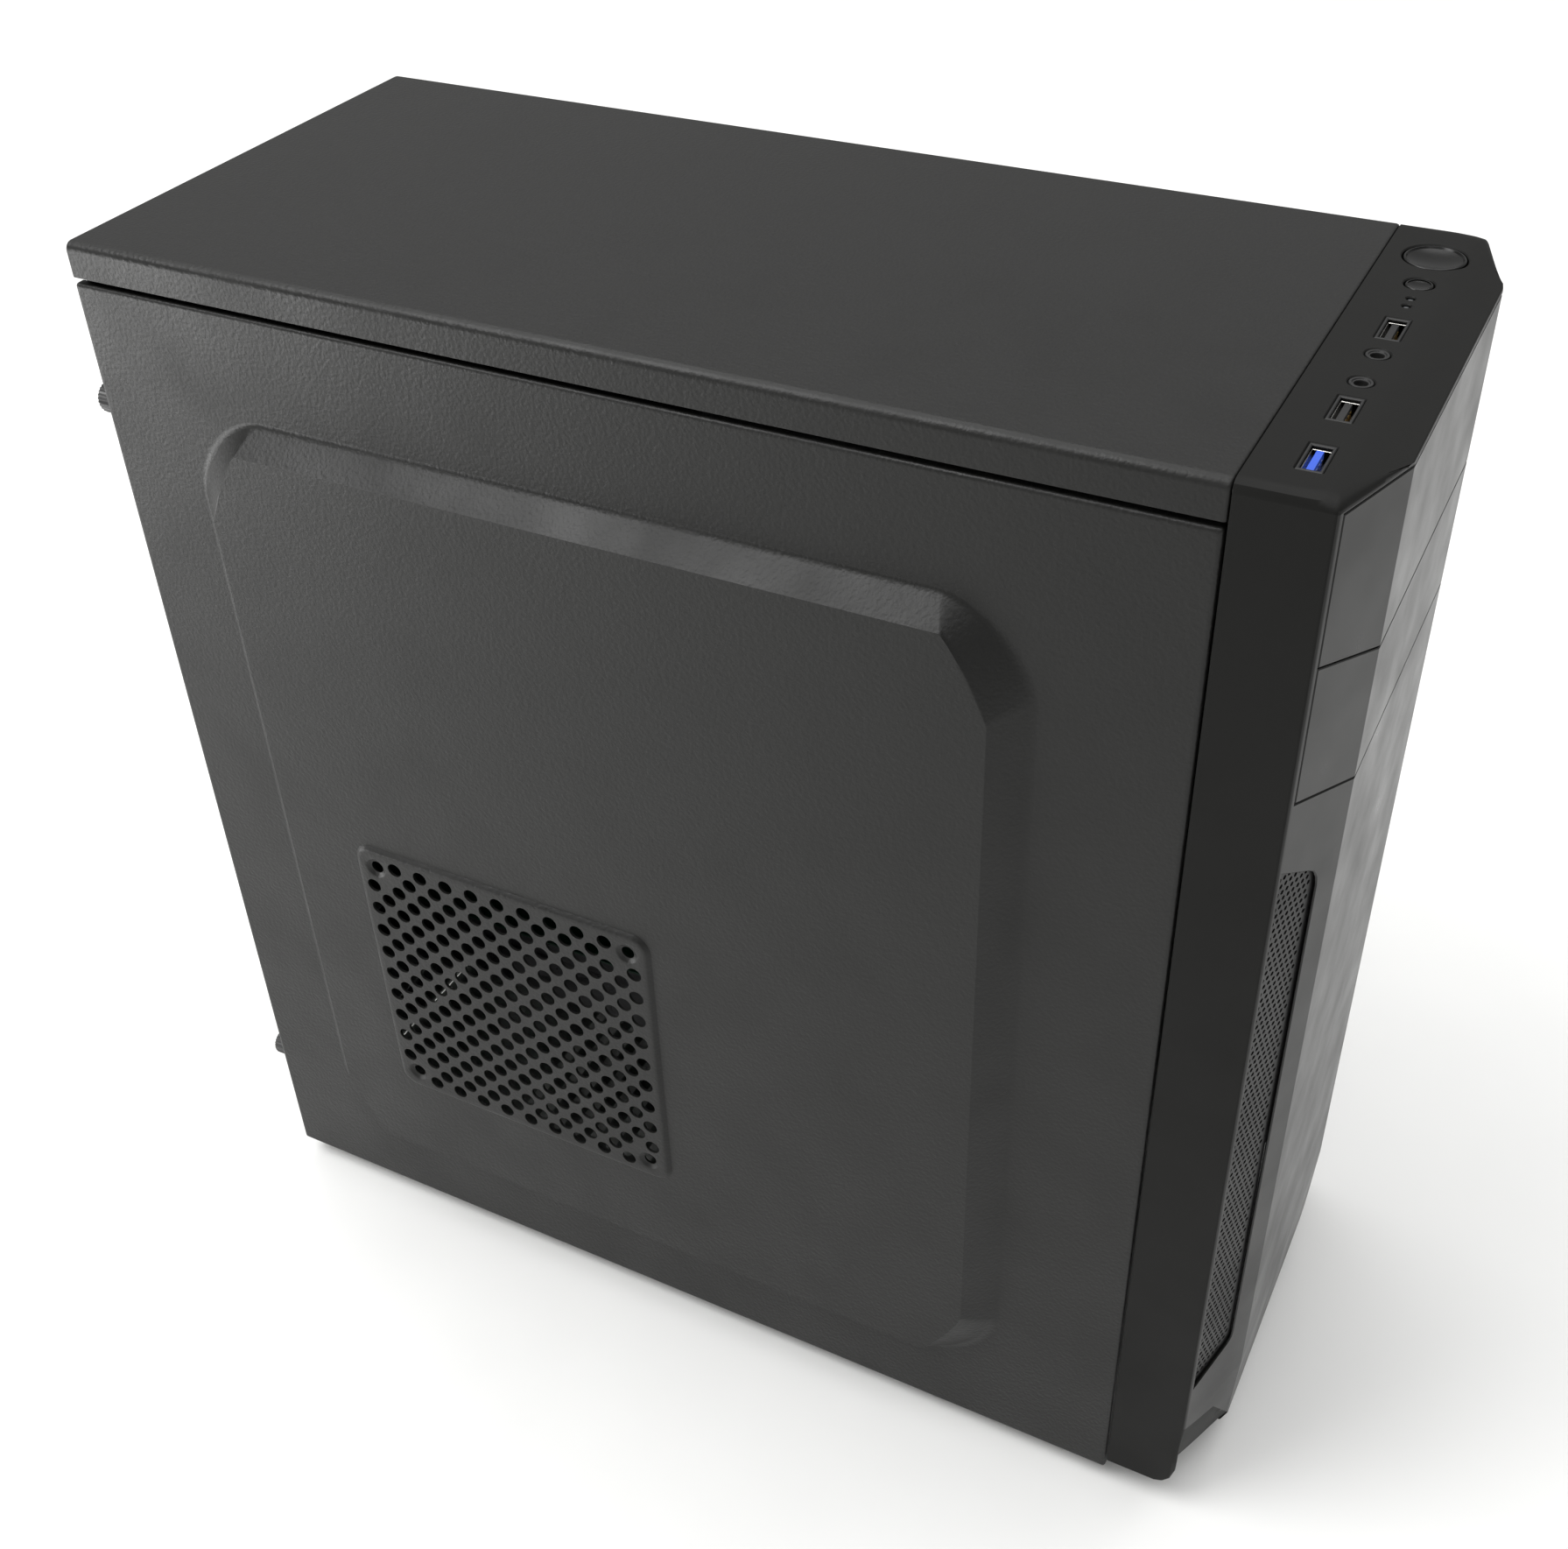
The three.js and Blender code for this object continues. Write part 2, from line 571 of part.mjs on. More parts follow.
function bezelControls() {
  const group = new THREE.Group();
  group.add(piece("power_button", pushButton(POWER), plastic));
  group.add(piece("reset_button", pushButton(RESET), plastic));
  ["power_led", "drive_led"].forEach((name, i) => {
    group.add(piece(name, barZ(LED_X[i], STRIP_Y, LED_R, CASE_H - 8, CASE_H - 0.3, 12), lens));
  });
  ["usb_port_right", "usb_port_left", "usb3_port"].forEach((name, i) => {
    group.add(piece(name, usbPort(USB_X[i]), i === 2 ? blue : plastic));
  });
  ["audio_jack_right", "audio_jack_left"].forEach((name, i) => {
    group.add(piece(name, audioJack(JACK_X[i]), plastic));
  });
  const card = box(-79, 71, STRIP_Y - 5, STRIP_Y + 8, IO_BOARD_Z, IO_BOARD_Z + 1.6);
  group.add(piece("front_io_board", card, board));
  return group;
}

// ---- fans ---------------------------------------------------------------------------------

// Square frame along +Z with a bore, four struts and a motor seat at its far face
function fanFrame({ size, depth, bore }) {
  const half = size / 2;
  const outline = roundedRectangle(-half, half, -half, half, 5);
  const ring = slabXY(outline, 0, depth, 2);
  const hole = barZ(0, 0, bore, -1, depth + 1, 32);
  const struts = [0, 1].map((turn) => {
    const strip = new THREE.BoxGeometry(bore * 2 + 2, 5, 2.6);
    strip.translate(0, 0, depth - 1.3);
    return solidOf(strip.rotateZ(Math.PI / 4 + (turn * Math.PI) / 2));
  });
  const seat = barZ(0, 0, bore * 0.36, depth - 3, depth, 20);
  return join(cut(ring, hole), ...struts, seat);
}

// Hub with pitched blades, drawn to turn inside a frame of the same size
function fanRotor({ depth, bore }, blades = 7) {
  const low = 1;
  const high = depth - 4.5;
  const hubR = bore * 0.38;
  const tip = bore - 1.5;
  const hub = barZ(0, 0, hubR, low, high, 20);
  const vanes = Array.from({ length: blades }, (_, i) => {
    const length = tip - hubR + 3;
    const chord = Math.min((high - low) * 1.3, bore * 0.45);
    const vane = new THREE.BoxGeometry(length, chord, 1.4);
    vane.rotateX(0.6);
    vane.translate(hubR - 3 + length / 2, 0, (low + high) / 2);
    return solidOf(vane.rotateZ((i * 2 * Math.PI) / blades));
  });
  const sweep = barZ(0, 0, tip, low, high, 32);
  return join(hub, ...vanes).intersect(sweep);
}

// ---- electronics --------------------------------------------------------------------------

function mainBoard() {
  const { x, t, y0, y1, z0, z1 } = BOARD;
  const card = box(x, x + t, y0, y1, z0, z1);
  const posts = [y0 + 12, y1 - 12].flatMap((y) => [z0 + 10, (z0 + z1) / 2, z1 - 10].map((z) => (
    barX(y, z, 2.6, x + 1, TRAY_X - GAP, 8)
  )));
  const socket = box(x - 5, x + 1, CPU.y - 22, CPU.y + 22, CPU.z - 22, CPU.z + 22);
  const dimms = MEMORY_Y.map((y) => box(x - 6, x + 1, y - 3, y + 3, 166, 306));
  const expansion = [0, 1, 3].map((i) => {
    const z = slotCentre(i) - 4;
    return box(x - (i === 0 ? 6 : 8), x + 1, 215, 300, z - 3.6, z + 3.6);
  });
  const power = box(x - 12, x + 1, 163, 172, 210, 262);
  const chipset = box(x - 10, x + 1, 172, 204, 142, 174);
  const coils = Array.from({ length: 5 }, (_, i) => (
    box(x - 8, x + 1, 322, 331, CPU.z - 26 + i * 12, CPU.z - 18 + i * 12)
  ));
  return join(card, ...posts, socket, ...dimms, ...expansion, power, chipset, ...coils);
}

function rearPorts() {
  const base = box(56, BOARD.x - GAP, 342, REAR_Y - 3, 150, 299);
  const blocks = PORT_BLOCKS.map(({ z0, z1, top }) => box(top, BOARD.x - GAP, 344, REAR_Y + 0.8, z0, z1));
  const sockets = PORT_BLOCKS.map(({ z0, z1, top }) => (
    box(top + 4, BOARD.x - 6, REAR_Y - 8, REAR_Y + 2, z0 + 3, z1 - 3)
  ));
  return cut(join(base, ...blocks), ...sockets);
}

function ioShield() {
  const { x0, x1, z0, z1 } = IO_WINDOW;
  const plate = box(x0 + GAP, x1 - GAP, REAR_Y, REAR_Y + 0.6, z0 + GAP, z1 - GAP);
  const windows = PORT_BLOCKS.map((block) => (
    box(block.top - GAP, BOARD.x, REAR_Y - 1, REAR_Y + 2, block.z0 - GAP, block.z1 + GAP)
  ));
  return cut(plate, ...windows);
}

function cpuHeatsink() {
  const base = box(COOLER.x1 - 5, COOLER.x1, CPU.y - 20, CPU.y + 20, CPU.z - 20, CPU.z + 20);
  const core = barX(CPU.y, CPU.z, COOLER.core, COOLER.x0, COOLER.x1 - 1, 20);
  const fins = Array.from({ length: COOLER.fins }, (_, i) => {
    const fin = new THREE.BoxGeometry(COOLER.x1 - 6 - COOLER.x0, COOLER.reach - COOLER.core + 3, 1.6);
    fin.translate((COOLER.x0 + COOLER.x1 - 6) / 2, (COOLER.reach + COOLER.core - 3) / 2, 0);
    fin.rotateX((i * 2 * Math.PI) / COOLER.fins);
    return solidOf(fin.translate(0, CPU.y, CPU.z));
  });
  return join(base, core, ...fins);
}

function memoryModule(y) {
  const x1 = BOARD.x - 6 - GAP;
  const half = MEMORY.thick / 2;
  return box(x1 - MEMORY.tall, x1, y - half, y + half, MEMORY.z0, MEMORY.z1);
}

function bracket(zLow, zHigh) {
  return box(BRACKET.x0, BRACKET.x1, REAR_Y - GAP - BRACKET.t, REAR_Y - GAP, zLow, zHigh);
}

function graphicsCard() {
  const card = box(CARD.x0, CARD.x1, CARD.y0, REAR_Y - 1, CARD.z, CARD.z + CARD.t);
  const plate = bracket(slotCentre(1) - BRACKET.w / 2, slotCentre(0) + BRACKET.w / 2);
  const vents = [-34, -18, -2, 14].map((x) => box(x, x + 10, REAR_Y - 3, REAR_Y + 1, 108, 124));
  const power = box(CARD.x0 + 2, CARD.x0 + 14, CARD.y0 + 1, CARD.y0 + 8, CARD.z - 10, CARD.z + 1);
  return join(cut(plate, ...vents), card, power);
}

function graphicsShroud() {
  const top = CARD.z - GAP;
  const { x, y, z, bore } = GRAPHICS_FAN;
  const body = slabXY(roundedRectangle(CARD.x0 + 1, CARD.x1 - 3, 192, 350, 8), z, top, 3);
  const well = barZ(x, y, bore, z - 1, z + 22, 32);
  return cut(body, well);
}

function slotCovers() {
  const group = new THREE.Group();
  for (let i = 2; i < SLOT_COUNT; i += 1) {
    const z = slotCentre(i);
    group.add(piece(`slot_cover_${i - 1}`, bracket(z - BRACKET.w / 2, z + BRACKET.w / 2), painted));
  }
  return group;
}

function diskDrive() {
  const y0 = 6;
  const { w, l, h, z } = DISK;
  const body = box(-w / 2, w / 2, y0, y0 + l, z, z + h);
  const step = box(-w / 2 - 1, w / 2 + 1, y0 + l - 8, y0 + l + 1, z + h - 8, z + h + 1);
  const label = box(-w / 2 + 12, w / 2 - 12, y0 + 20, y0 + l - 30, z + h - 1, z + h + 1);
  return cut(body, step, label);
}

// ---- power supply -------------------------------------------------------------------------

function psuCase() {
  const y1 = REAR_Y - GAP;
  const y0 = y1 - PSU.l;
  const x = PSU.w / 2;
  const z1 = PSU.z + PSU.h;
  const shell = box(-x, x, y0, y1, PSU.z, z1);
  const hollow = box(-x + SHEET, x - SHEET, y0 + SHEET, y1 - SHEET, PSU.z + SHEET, z1 - SHEET);
  const intake = Array.from({ length: 9 }, (_, i) => {
    const step = (i - 4) * 12;
    const half = Math.sqrt(55 ** 2 - step ** 2);
    return box(PSU_FAN.x - half, PSU_FAN.x + half, PSU_FAN.y + step - 4, PSU_FAN.y + step + 4, PSU.z - 1, PSU.z + 2);
  });
  const outlets = Array.from({ length: 6 }, (_, i) => {
    const z = PSU.z + 12 + i * 12;
    return box(-66, 24, y1 - 3, y1 + 1, z, z + 6);
  });
  const socket = box(INLET.x - 13.5, INLET.x + 13.5, y1 - 3, y1 + 1, INLET.switchZ - 12, INLET.z + 10.5);
  return cut(shell, hollow, ...intake, ...outlets, socket);
}

function psuBoard() {
  const card = box(-70, 70, 232, 340, 392, 393.6);
  const transformer = box(-20, 18, 262, 300, 358, 393);
  const sinks = [-48, 40].map((x) => box(x, x + 4, 240, 320, 352, 393));
  const capacitors = [250, 276].map((y) => barZ(60, y, 8, 360, 393, 16));
  return join(card, transformer, ...sinks, ...capacitors);
}

function mainsInlet() {
  const y1 = REAR_Y + 1.3;
  const { x, z, switchZ } = INLET;
  const flange = box(x - 15, x + 15, REAR_Y, y1, switchZ - 13.5, z + 12);
  const body = box(x - 13.2, x + 13.2, REAR_Y - 20, REAR_Y + 0.5, switchZ - 11.7, z + 10.2);
  const socket = box(x - 12, x + 12, y1 - 16, y1 + 1, z - 8, z + 8);
  const rocker = box(x - 7, x + 7, y1 - 14, y1 + 1, switchZ - 10.4, switchZ + 10.4);
  const pin = (dx, dz) => box(x + dx - 2, x + dx + 2, y1 - 18, y1 - 2, z + dz - 1, z + dz + 1);
  return join(cut(join(flange, body), socket, rocker), pin(-7, -3), pin(7, -3), pin(0, 3));
}

function psuSwitch() {
  const outline = polygon([[-5, -5], [2.4, -9.2], [3.8, -9.2], [3, 0], [3.8, 9.2], [2.4, 9.2], [-5, 5]]);
  return slabYZ(outline, -6.4, 6.4);
}

// ---- assembly -----------------------------------------------------------------------------

function placed(mesh, position, rotation = [0, 0, 0]) {
  mesh.position.set(...position);
  mesh.rotation.set(...rotation);
  return mesh;
}

function caseShell() {
  const group = new THREE.Group();
  group.add(piece("top_cover", topCover(), painted));
  group.add(piece("bottom_pan", bottomPan(), steel));
  group.add(piece("rear_panel", rearPanel(), steel));
  group.add(piece("front_frame", frontFrame(), steel));
  group.add(piece("front_rail", frontRail(), steel));
  group.add(piece("board_tray", boardTray(), steel));
  group.add(piece("optical_cage", opticalCage(), steel));
  group.add(piece("drive_cage", driveCage(), steel));
  ["front", "rear"].forEach((row, i) => {
    [-1, 1].forEach((side) => {
      const name = `foot_${row}_${side < 0 ? "left" : "right"}`;
      group.add(piece(name, foot(side * FOOT_X, FOOT_Y[i]), rubber));
    });
  });
  return group;
}

function sidePanels() {
  const group = new THREE.Group();
  group.add(piece("side_panel_left", sidePanel(-1, true), painted));
  group.add(piece("side_panel_right", sidePanel(1, false), painted));
  [-1, 1].forEach((side) => {
    SCREW_Z.forEach((z, i) => {
      const name = `thumbscrew_${side < 0 ? "left" : "right"}_${i === 0 ? "lower" : "upper"}`;
      group.add(piece(name, thumbscrew(side * SCREW_X, z), plastic));
    });
  });
  return group;
}

function bezel() {
  const group = new THREE.Group();
  group.add(piece("front_bezel", frontBezel(), plastic));
  group.add(piece("bezel_mesh_left", bezelMesh(-1), plastic));
  group.add(piece("bezel_mesh_right", bezelMesh(1), plastic));
  group.add(piece("bay_cover_upper", bayCover(0), glossy));
  group.add(piece("bay_cover_lower", bayCover(1), glossy));
  group.add(bezelControls());
  return group;
}

// Frame and rotor of one fan in a shared place
function fanPair(name, fan, position, rotation) {
  const group = new THREE.Group();
  group.add(piece(`${name}_frame`, fanFrame(fan), plastic));
  group.add(piece(`${name}_rotor`, fanRotor(fan), plastic));
  return placed(group, position, rotation);
}

function fans() {
  const group = new THREE.Group();
  const turnY = [Math.PI / 2, 0, 0];
  const rearY = REAR_Y - GAP;
  const frontY = FRONT_Y + SHEET + GAP + FRONT_FAN.depth;
  group.add(fanPair("rear_fan", REAR_FAN, [REAR_FAN.x, rearY, REAR_FAN.z], turnY));
  group.add(fanPair("front_fan", FRONT_FAN, [FRONT_FAN.x, frontY, FRONT_FAN.z], turnY));
  const coolerX = COOLER.x0 - GAP - CPU_FAN.depth;
  group.add(fanPair("cpu_fan", CPU_FAN, [coolerX, CPU.y, CPU.z], [0, Math.PI / 2, 0]));
  const graphics = piece("graphics_fan_rotor", fanRotor(GRAPHICS_FAN, 9), plastic);
  group.add(placed(graphics, [GRAPHICS_FAN.x, GRAPHICS_FAN.y, GRAPHICS_FAN.z]));
  const psu = piece("psu_fan_rotor", fanRotor(PSU_FAN), plastic);
  group.add(placed(psu, [PSU_FAN.x, PSU_FAN.y, PSU_FAN.z]));
  return group;
}

function electronics() {
  const group = new THREE.Group();
  group.add(piece("main_board", mainBoard(), board));
  group.add(piece("rear_ports", rearPorts(), alloy));
  group.add(piece("io_shield", ioShield(), steel));
  group.add(piece("cpu_heatsink", cpuHeatsink(), alloy));
  MEMORY_Y.forEach((y, i) => {
    group.add(piece(`memory_module_${i + 1}`, memoryModule(y), board));
  });
  group.add(piece("graphics_card", graphicsCard(), board));
  group.add(piece("graphics_shroud", graphicsShroud(), plastic));
  group.add(slotCovers());
  group.add(piece("hard_drive", diskDrive(), alloy));
  return group;
}

function powerSupply() {
  const group = new THREE.Group();
  group.add(piece("psu_case", psuCase(), painted));
  group.add(piece("psu_board", psuBoard(), board));
  group.add(piece("mains_inlet", mainsInlet(), plastic));
  const rocker = piece("psu_switch", psuSwitch(), plastic);
  group.add(placed(rocker, [INLET.x, ROCKER.y, INLET.switchZ], [ROCKER.tilt, 0, 0]));
  return group;
}

const tower = new THREE.Group();
tower.add(caseShell(), sidePanels(), bezel(), fans(), electronics(), powerSupply());
const rearMost = CASE_D + GAP + SCREW_HEAD_L;
tower.position.set(VENT.rise / 2, (BEZEL_DEEP - rearMost) / 2, FOOT_H);

export default tower;
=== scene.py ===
"""Studio model of a midi tower desktop computer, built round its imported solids.

Sizes are in millimetres in the case frame: x runs across from the middle, y runs back from the
seam between steel and bezel, and z runs up from the underside of the steel body. Each finished
mesh is carried into the row frame in metres.
"""

import json
import logging
import math
from dataclasses import dataclass, field
from enum import Enum
from typing import Callable, Iterable, Sequence

import bmesh
import bpy
from mathutils import Matrix, Vector

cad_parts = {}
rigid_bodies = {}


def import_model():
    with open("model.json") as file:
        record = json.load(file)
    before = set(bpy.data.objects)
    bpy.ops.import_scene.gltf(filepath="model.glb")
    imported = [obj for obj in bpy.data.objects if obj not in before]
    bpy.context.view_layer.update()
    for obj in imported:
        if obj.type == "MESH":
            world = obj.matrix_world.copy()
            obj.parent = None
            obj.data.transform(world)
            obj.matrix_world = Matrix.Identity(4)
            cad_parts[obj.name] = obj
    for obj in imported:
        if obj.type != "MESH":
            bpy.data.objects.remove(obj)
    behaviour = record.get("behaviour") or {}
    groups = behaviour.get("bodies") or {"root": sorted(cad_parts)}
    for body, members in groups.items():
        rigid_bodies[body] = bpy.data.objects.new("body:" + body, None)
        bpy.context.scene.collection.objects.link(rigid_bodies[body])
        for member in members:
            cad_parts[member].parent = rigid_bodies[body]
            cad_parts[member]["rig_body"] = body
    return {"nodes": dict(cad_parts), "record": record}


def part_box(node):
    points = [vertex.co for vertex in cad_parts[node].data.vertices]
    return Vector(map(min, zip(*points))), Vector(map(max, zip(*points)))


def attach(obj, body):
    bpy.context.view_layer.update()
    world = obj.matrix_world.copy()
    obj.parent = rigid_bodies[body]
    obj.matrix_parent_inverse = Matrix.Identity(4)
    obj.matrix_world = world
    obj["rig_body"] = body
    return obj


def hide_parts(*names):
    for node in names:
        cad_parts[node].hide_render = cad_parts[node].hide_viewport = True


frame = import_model()

LOG = logging.getLogger("tower")
MM = 0.001
CASE_W, CASE_D, CASE_H = 175.0, 371.5, 412.0
HALF_W = CASE_W / 2
SHARP = 30

Flat = tuple[float, float]
Edges = list[bmesh.types.BMEdge]


def case_to_row() -> Matrix:
    """Find where the case frame lies in the row frame.

    Returns:
        The matrix that carries case millimetres to row metres.
    """
    low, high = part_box("top_cover")
    origin = Vector(((low.x + high.x) / 2, low.y, high.z - CASE_H * MM))
    return Matrix.Translation(origin) @ Matrix.Scale(MM, 4)


TO_ROW = case_to_row()
TO_CASE = TO_ROW.inverted()


def case_box(node: str) -> tuple[Vector, Vector]:
    """Return a node's lowest and highest corner in case millimetres.

    Args:
        node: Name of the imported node.
    """
    low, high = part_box(node)
    return TO_CASE @ low, TO_CASE @ high


# ---- finishes -----------------------------------------------------------------------------


class Pattern(Enum):
    """How a finish varies over a surface."""

    GRAIN = "pebbled skin of paint or moulded plastic"
    SPANGLE = "crystals of a zinc coating"
    BRUSHED = "fine lines left by drawing or brushing"
    TRACKS = "copper tracks under solder mask"


class Bench:
    """Lays nodes out in one material and joins them up."""

    def __init__(self, material: bpy.types.Material) -> None:
        """Clear the material's node tree.

        Args:
            material: The material to work on.
        """
        material.use_nodes = True
        self.tree = material.node_tree
        self.tree.nodes.clear()
        self.where = self.tree.nodes.new("ShaderNodeTexCoord").outputs["Object"]

    def node(self, kind: str, inputs: dict[str, object] | None = None, **settings: object) -> bpy.types.Node:
        """Add one node.

        Args:
            kind: Blender's name for the node type.
            inputs: Values or sockets for its inputs, by name.
            settings: Attributes of the node.

        Returns:
            The new node.
        """
        made = self.tree.nodes.new(kind)
        for key, value in settings.items():
            setattr(made, key, value)
        for key, value in (inputs or {}).items():
            socket = made.inputs[key]
            if isinstance(value, bpy.types.NodeSocket):
                self.tree.links.new(value, socket)
            else:
                socket.default_value = value
        return made

    def noise(
        self, size: float, detail: float = 2.0, stretch: tuple[float, float, float] = (1, 1, 1),
    ) -> bpy.types.NodeSocket:
        """Add a noise pattern with features of the given size.

        Args:
            size: Feature size in millimetres.
            detail: Number of finer octaves.
            stretch: Extra scale along each axis.

        Returns:
            The pattern's value, from 0 to 1.
        """
        place = self.where
        if stretch != (1, 1, 1):
            place = self.node("ShaderNodeMapping", {"Vector": place, "Scale": stretch}).outputs[0]
        return self.node(
            "ShaderNodeTexNoise", {"Vector": place, "Scale": 1 / (size * MM), "Detail": detail},
        ).outputs[0]

    def between(
        self, value: bpy.types.NodeSocket, low: float, high: float, start: float = 0.3, stop: float = 0.7,
    ) -> bpy.types.NodeSocket:
        """Carry a pattern's middle range to a range of values.

        Args:
            value: The pattern.
            low: Value at start.
            high: Value at stop.
            start: Lower end of the pattern's range.
            stop: Upper end of the pattern's range.

        Returns:
            The new value.
        """
        inputs = {"Value": value, "From Min": start, "From Max": stop, "To Min": low, "To Max": high}
        return self.node("ShaderNodeMapRange", inputs).outputs[0]

    def mix(
        self, share: bpy.types.NodeSocket, first: Sequence[float], second: Sequence[float],
    ) -> bpy.types.NodeSocket:
        """Mix two colours by a pattern.

        Args:
            share: The pattern.
            first: Colour at 0.
            second: Colour at 1.

        Returns:
            The mixed colour.
        """
        made = self.node("ShaderNodeMix", data_type="RGBA")
        self.tree.links.new(share, made.inputs[0])
        made.inputs[6].default_value = (*first, 1)
        made.inputs[7].default_value = (*second, 1)
        return made.outputs[2]


@dataclass(frozen=True)
class Finish:
    """A surface finish of one of the tower's materials."""

    name: str
    colour: tuple[float, float, float]
    roughness: float
    metallic: float = 0.0
    specular: float = 0.5
    coat: float = 0.0
    pattern: Pattern = Pattern.GRAIN
    grain: float = 0.9
    depth: float = 0.03
    mottle: float = 0.12
    drift: float = 0.06
    tint: tuple[float, float, float] = (0.0, 0.0, 0.0)

    def material(self) -> bpy.types.Material:
        """Return the finish's material, made on first use."""
        found = bpy.data.materials.get(self.name)
        if found:
            return found
        made = bpy.data.materials.new(self.name)
        bench = Bench(made)
        colour, height = self._surface(bench)
        rough = bench.between(bench.noise(30, 4), self.roughness - self.drift, self.roughness + self.drift)
        bump = bench.node("ShaderNodeBump", {"Height": height, "Distance": self.depth * MM, "Strength": 1.0})
        shader = bench.node("ShaderNodeBsdfPrincipled", {
            "Base Color": colour,
            "Roughness": rough,
            "Metallic": self.metallic,
            "Specular IOR Level": self.specular,
            "Coat Weight": self.coat,
            "Normal": bump.outputs[0],
        })
        bench.node("ShaderNodeOutputMaterial", {"Surface": shader.outputs[0]})
        return made

    def _shade(self, factor: float) -> tuple[float, ...]:
        """Return the finish's colour made lighter or darker.

        Args:
            factor: What to multiply the colour by.
        """
        return tuple(min(1.0, c * factor) for c in self.colour)

    def _surface(self, bench: Bench) -> tuple[bpy.types.NodeSocket, bpy.types.NodeSocket]:
        """Lay out the pattern.

        Args:
            bench: The material's bench.

        Returns:
            The colour and the height of the surface.
        """
        low, high = self._shade(1 - self.mottle), self._shade(1 + self.mottle)
        if self.pattern is Pattern.SPANGLE:
            cells = bench.node(
                "ShaderNodeTexVoronoi", {"Vector": bench.where, "Scale": 1 / (self.grain * MM)},
            )
            split = bench.node("ShaderNodeSeparateColor", {"Color": cells.outputs["Color"]})
            return bench.mix(split.outputs[0], low, high), bench.noise(0.5)
        if self.pattern is Pattern.BRUSHED:
            lines = bench.noise(self.grain, 3, (1, 0.03, 1))
            return bench.mix(lines, low, high), lines
        if self.pattern is Pattern.TRACKS:
            cells = bench.node(
                "ShaderNodeTexVoronoi", {"Vector": bench.where, "Scale": 1 / (self.grain * MM)},
                distance="MANHATTAN",
            )
            track = bench.between(cells.outputs["Distance"], 0, 1, 0.36, 0.4)
            return bench.mix(track, self.colour, self.tint), track
        fine = bench.noise(self.grain, 1)
        broad = bench.noise(60, 4)
        return bench.mix(bench.between(broad, 0, 1), low, high), fine


PAINT = Finish(
    "satin_black_paint", (0.0093, 0.0093, 0.0087), 0.42, specular=0.27, grain=1.3, depth=0.14, mottle=0.03,
)
ZINC = Finish(
    "zinc_coated_sheet", (0.5, 0.51, 0.5), 0.36, metallic=1.0, pattern=Pattern.SPANGLE, grain=7, depth=0.01,
    mottle=0.16,
)
RUBBER = Finish("foot_rubber", (0.015, 0.015, 0.015), 0.8, specular=0.3, grain=0.5, depth=0.04)
SCREW = Finish("blackened_screw", (0.03, 0.03, 0.03), 0.4, metallic=0.4, grain=0.4, depth=0.01)
SCREW_STEEL = Finish(
    "screw_thread_steel", (0.42, 0.42, 0.41), 0.35, metallic=1.0, pattern=Pattern.BRUSHED, grain=0.5,
    depth=0.006,
)
# The matt skin is darker than the satin face: partly a real textured moulding, partly painted shade standing
# in for the dimmer light on the side walls and the low chin facets.
BEZEL_MATT_AND_SHADE = Finish(
    "bezel_matt_skin", (0.0074, 0.0074, 0.0068), 0.5, specular=0.12, grain=0.45, depth=0.02, mottle=0.04,
)
BEZEL_SATIN = Finish(
    "bezel_satin_face", (0.014, 0.014, 0.0134), 0.33, specular=0.2, grain=0.45, depth=0.008, mottle=0.015,
)
MESH_FINISH = Finish("cheek_mesh_paint", (0.012, 0.012, 0.012), 0.45, specular=0.3, grain=0.4, depth=0.01)
BUTTON = Finish("button_satin", (0.006, 0.006, 0.0057), 0.22, specular=0.26, grain=0.5, depth=0.004)
LENS = Finish("smoked_lens", (0.012, 0.014, 0.016), 0.1, specular=0.6, grain=2.0, depth=0.002)
PORT_BLACK = Finish("socket_black", (0.01, 0.01, 0.01), 0.45, specular=0.4, grain=0.5, depth=0.01)
PORT_BLUE = Finish("socket_blue", (0.03, 0.09, 0.52), 0.35, specular=0.5, grain=0.5, depth=0.006, mottle=0.15)
NICKEL = Finish(
    "nickel_shell", (0.6, 0.59, 0.56), 0.25, metallic=1.0, pattern=Pattern.BRUSHED, grain=0.4, depth=0.004,
)
GOLD = Finish(
    "gilt_contact", (0.75, 0.5, 0.17), 0.25, metallic=1.0, pattern=Pattern.BRUSHED, grain=0.3, depth=0.003,
)
FAN_BLACK = Finish("fan_plastic_black", (0.016, 0.016, 0.017), 0.3, specular=0.5, grain=0.6, depth=0.01)
BOARD_GREEN = Finish(
    "solder_mask_green", (0.004, 0.022, 0.012), 0.35, specular=0.4, pattern=Pattern.TRACKS, grain=3.2,
    depth=0.02, tint=(0.008, 0.04, 0.02),
)
ALLOY = Finish("cast_alloy", (0.6, 0.61, 0.62), 0.42, metallic=1.0, grain=0.5, depth=0.03, mottle=0.06)
SUPPLY_PAINT = Finish("supply_paint", (0.03, 0.03, 0.031), 0.4, grain=0.8, depth=0.03)

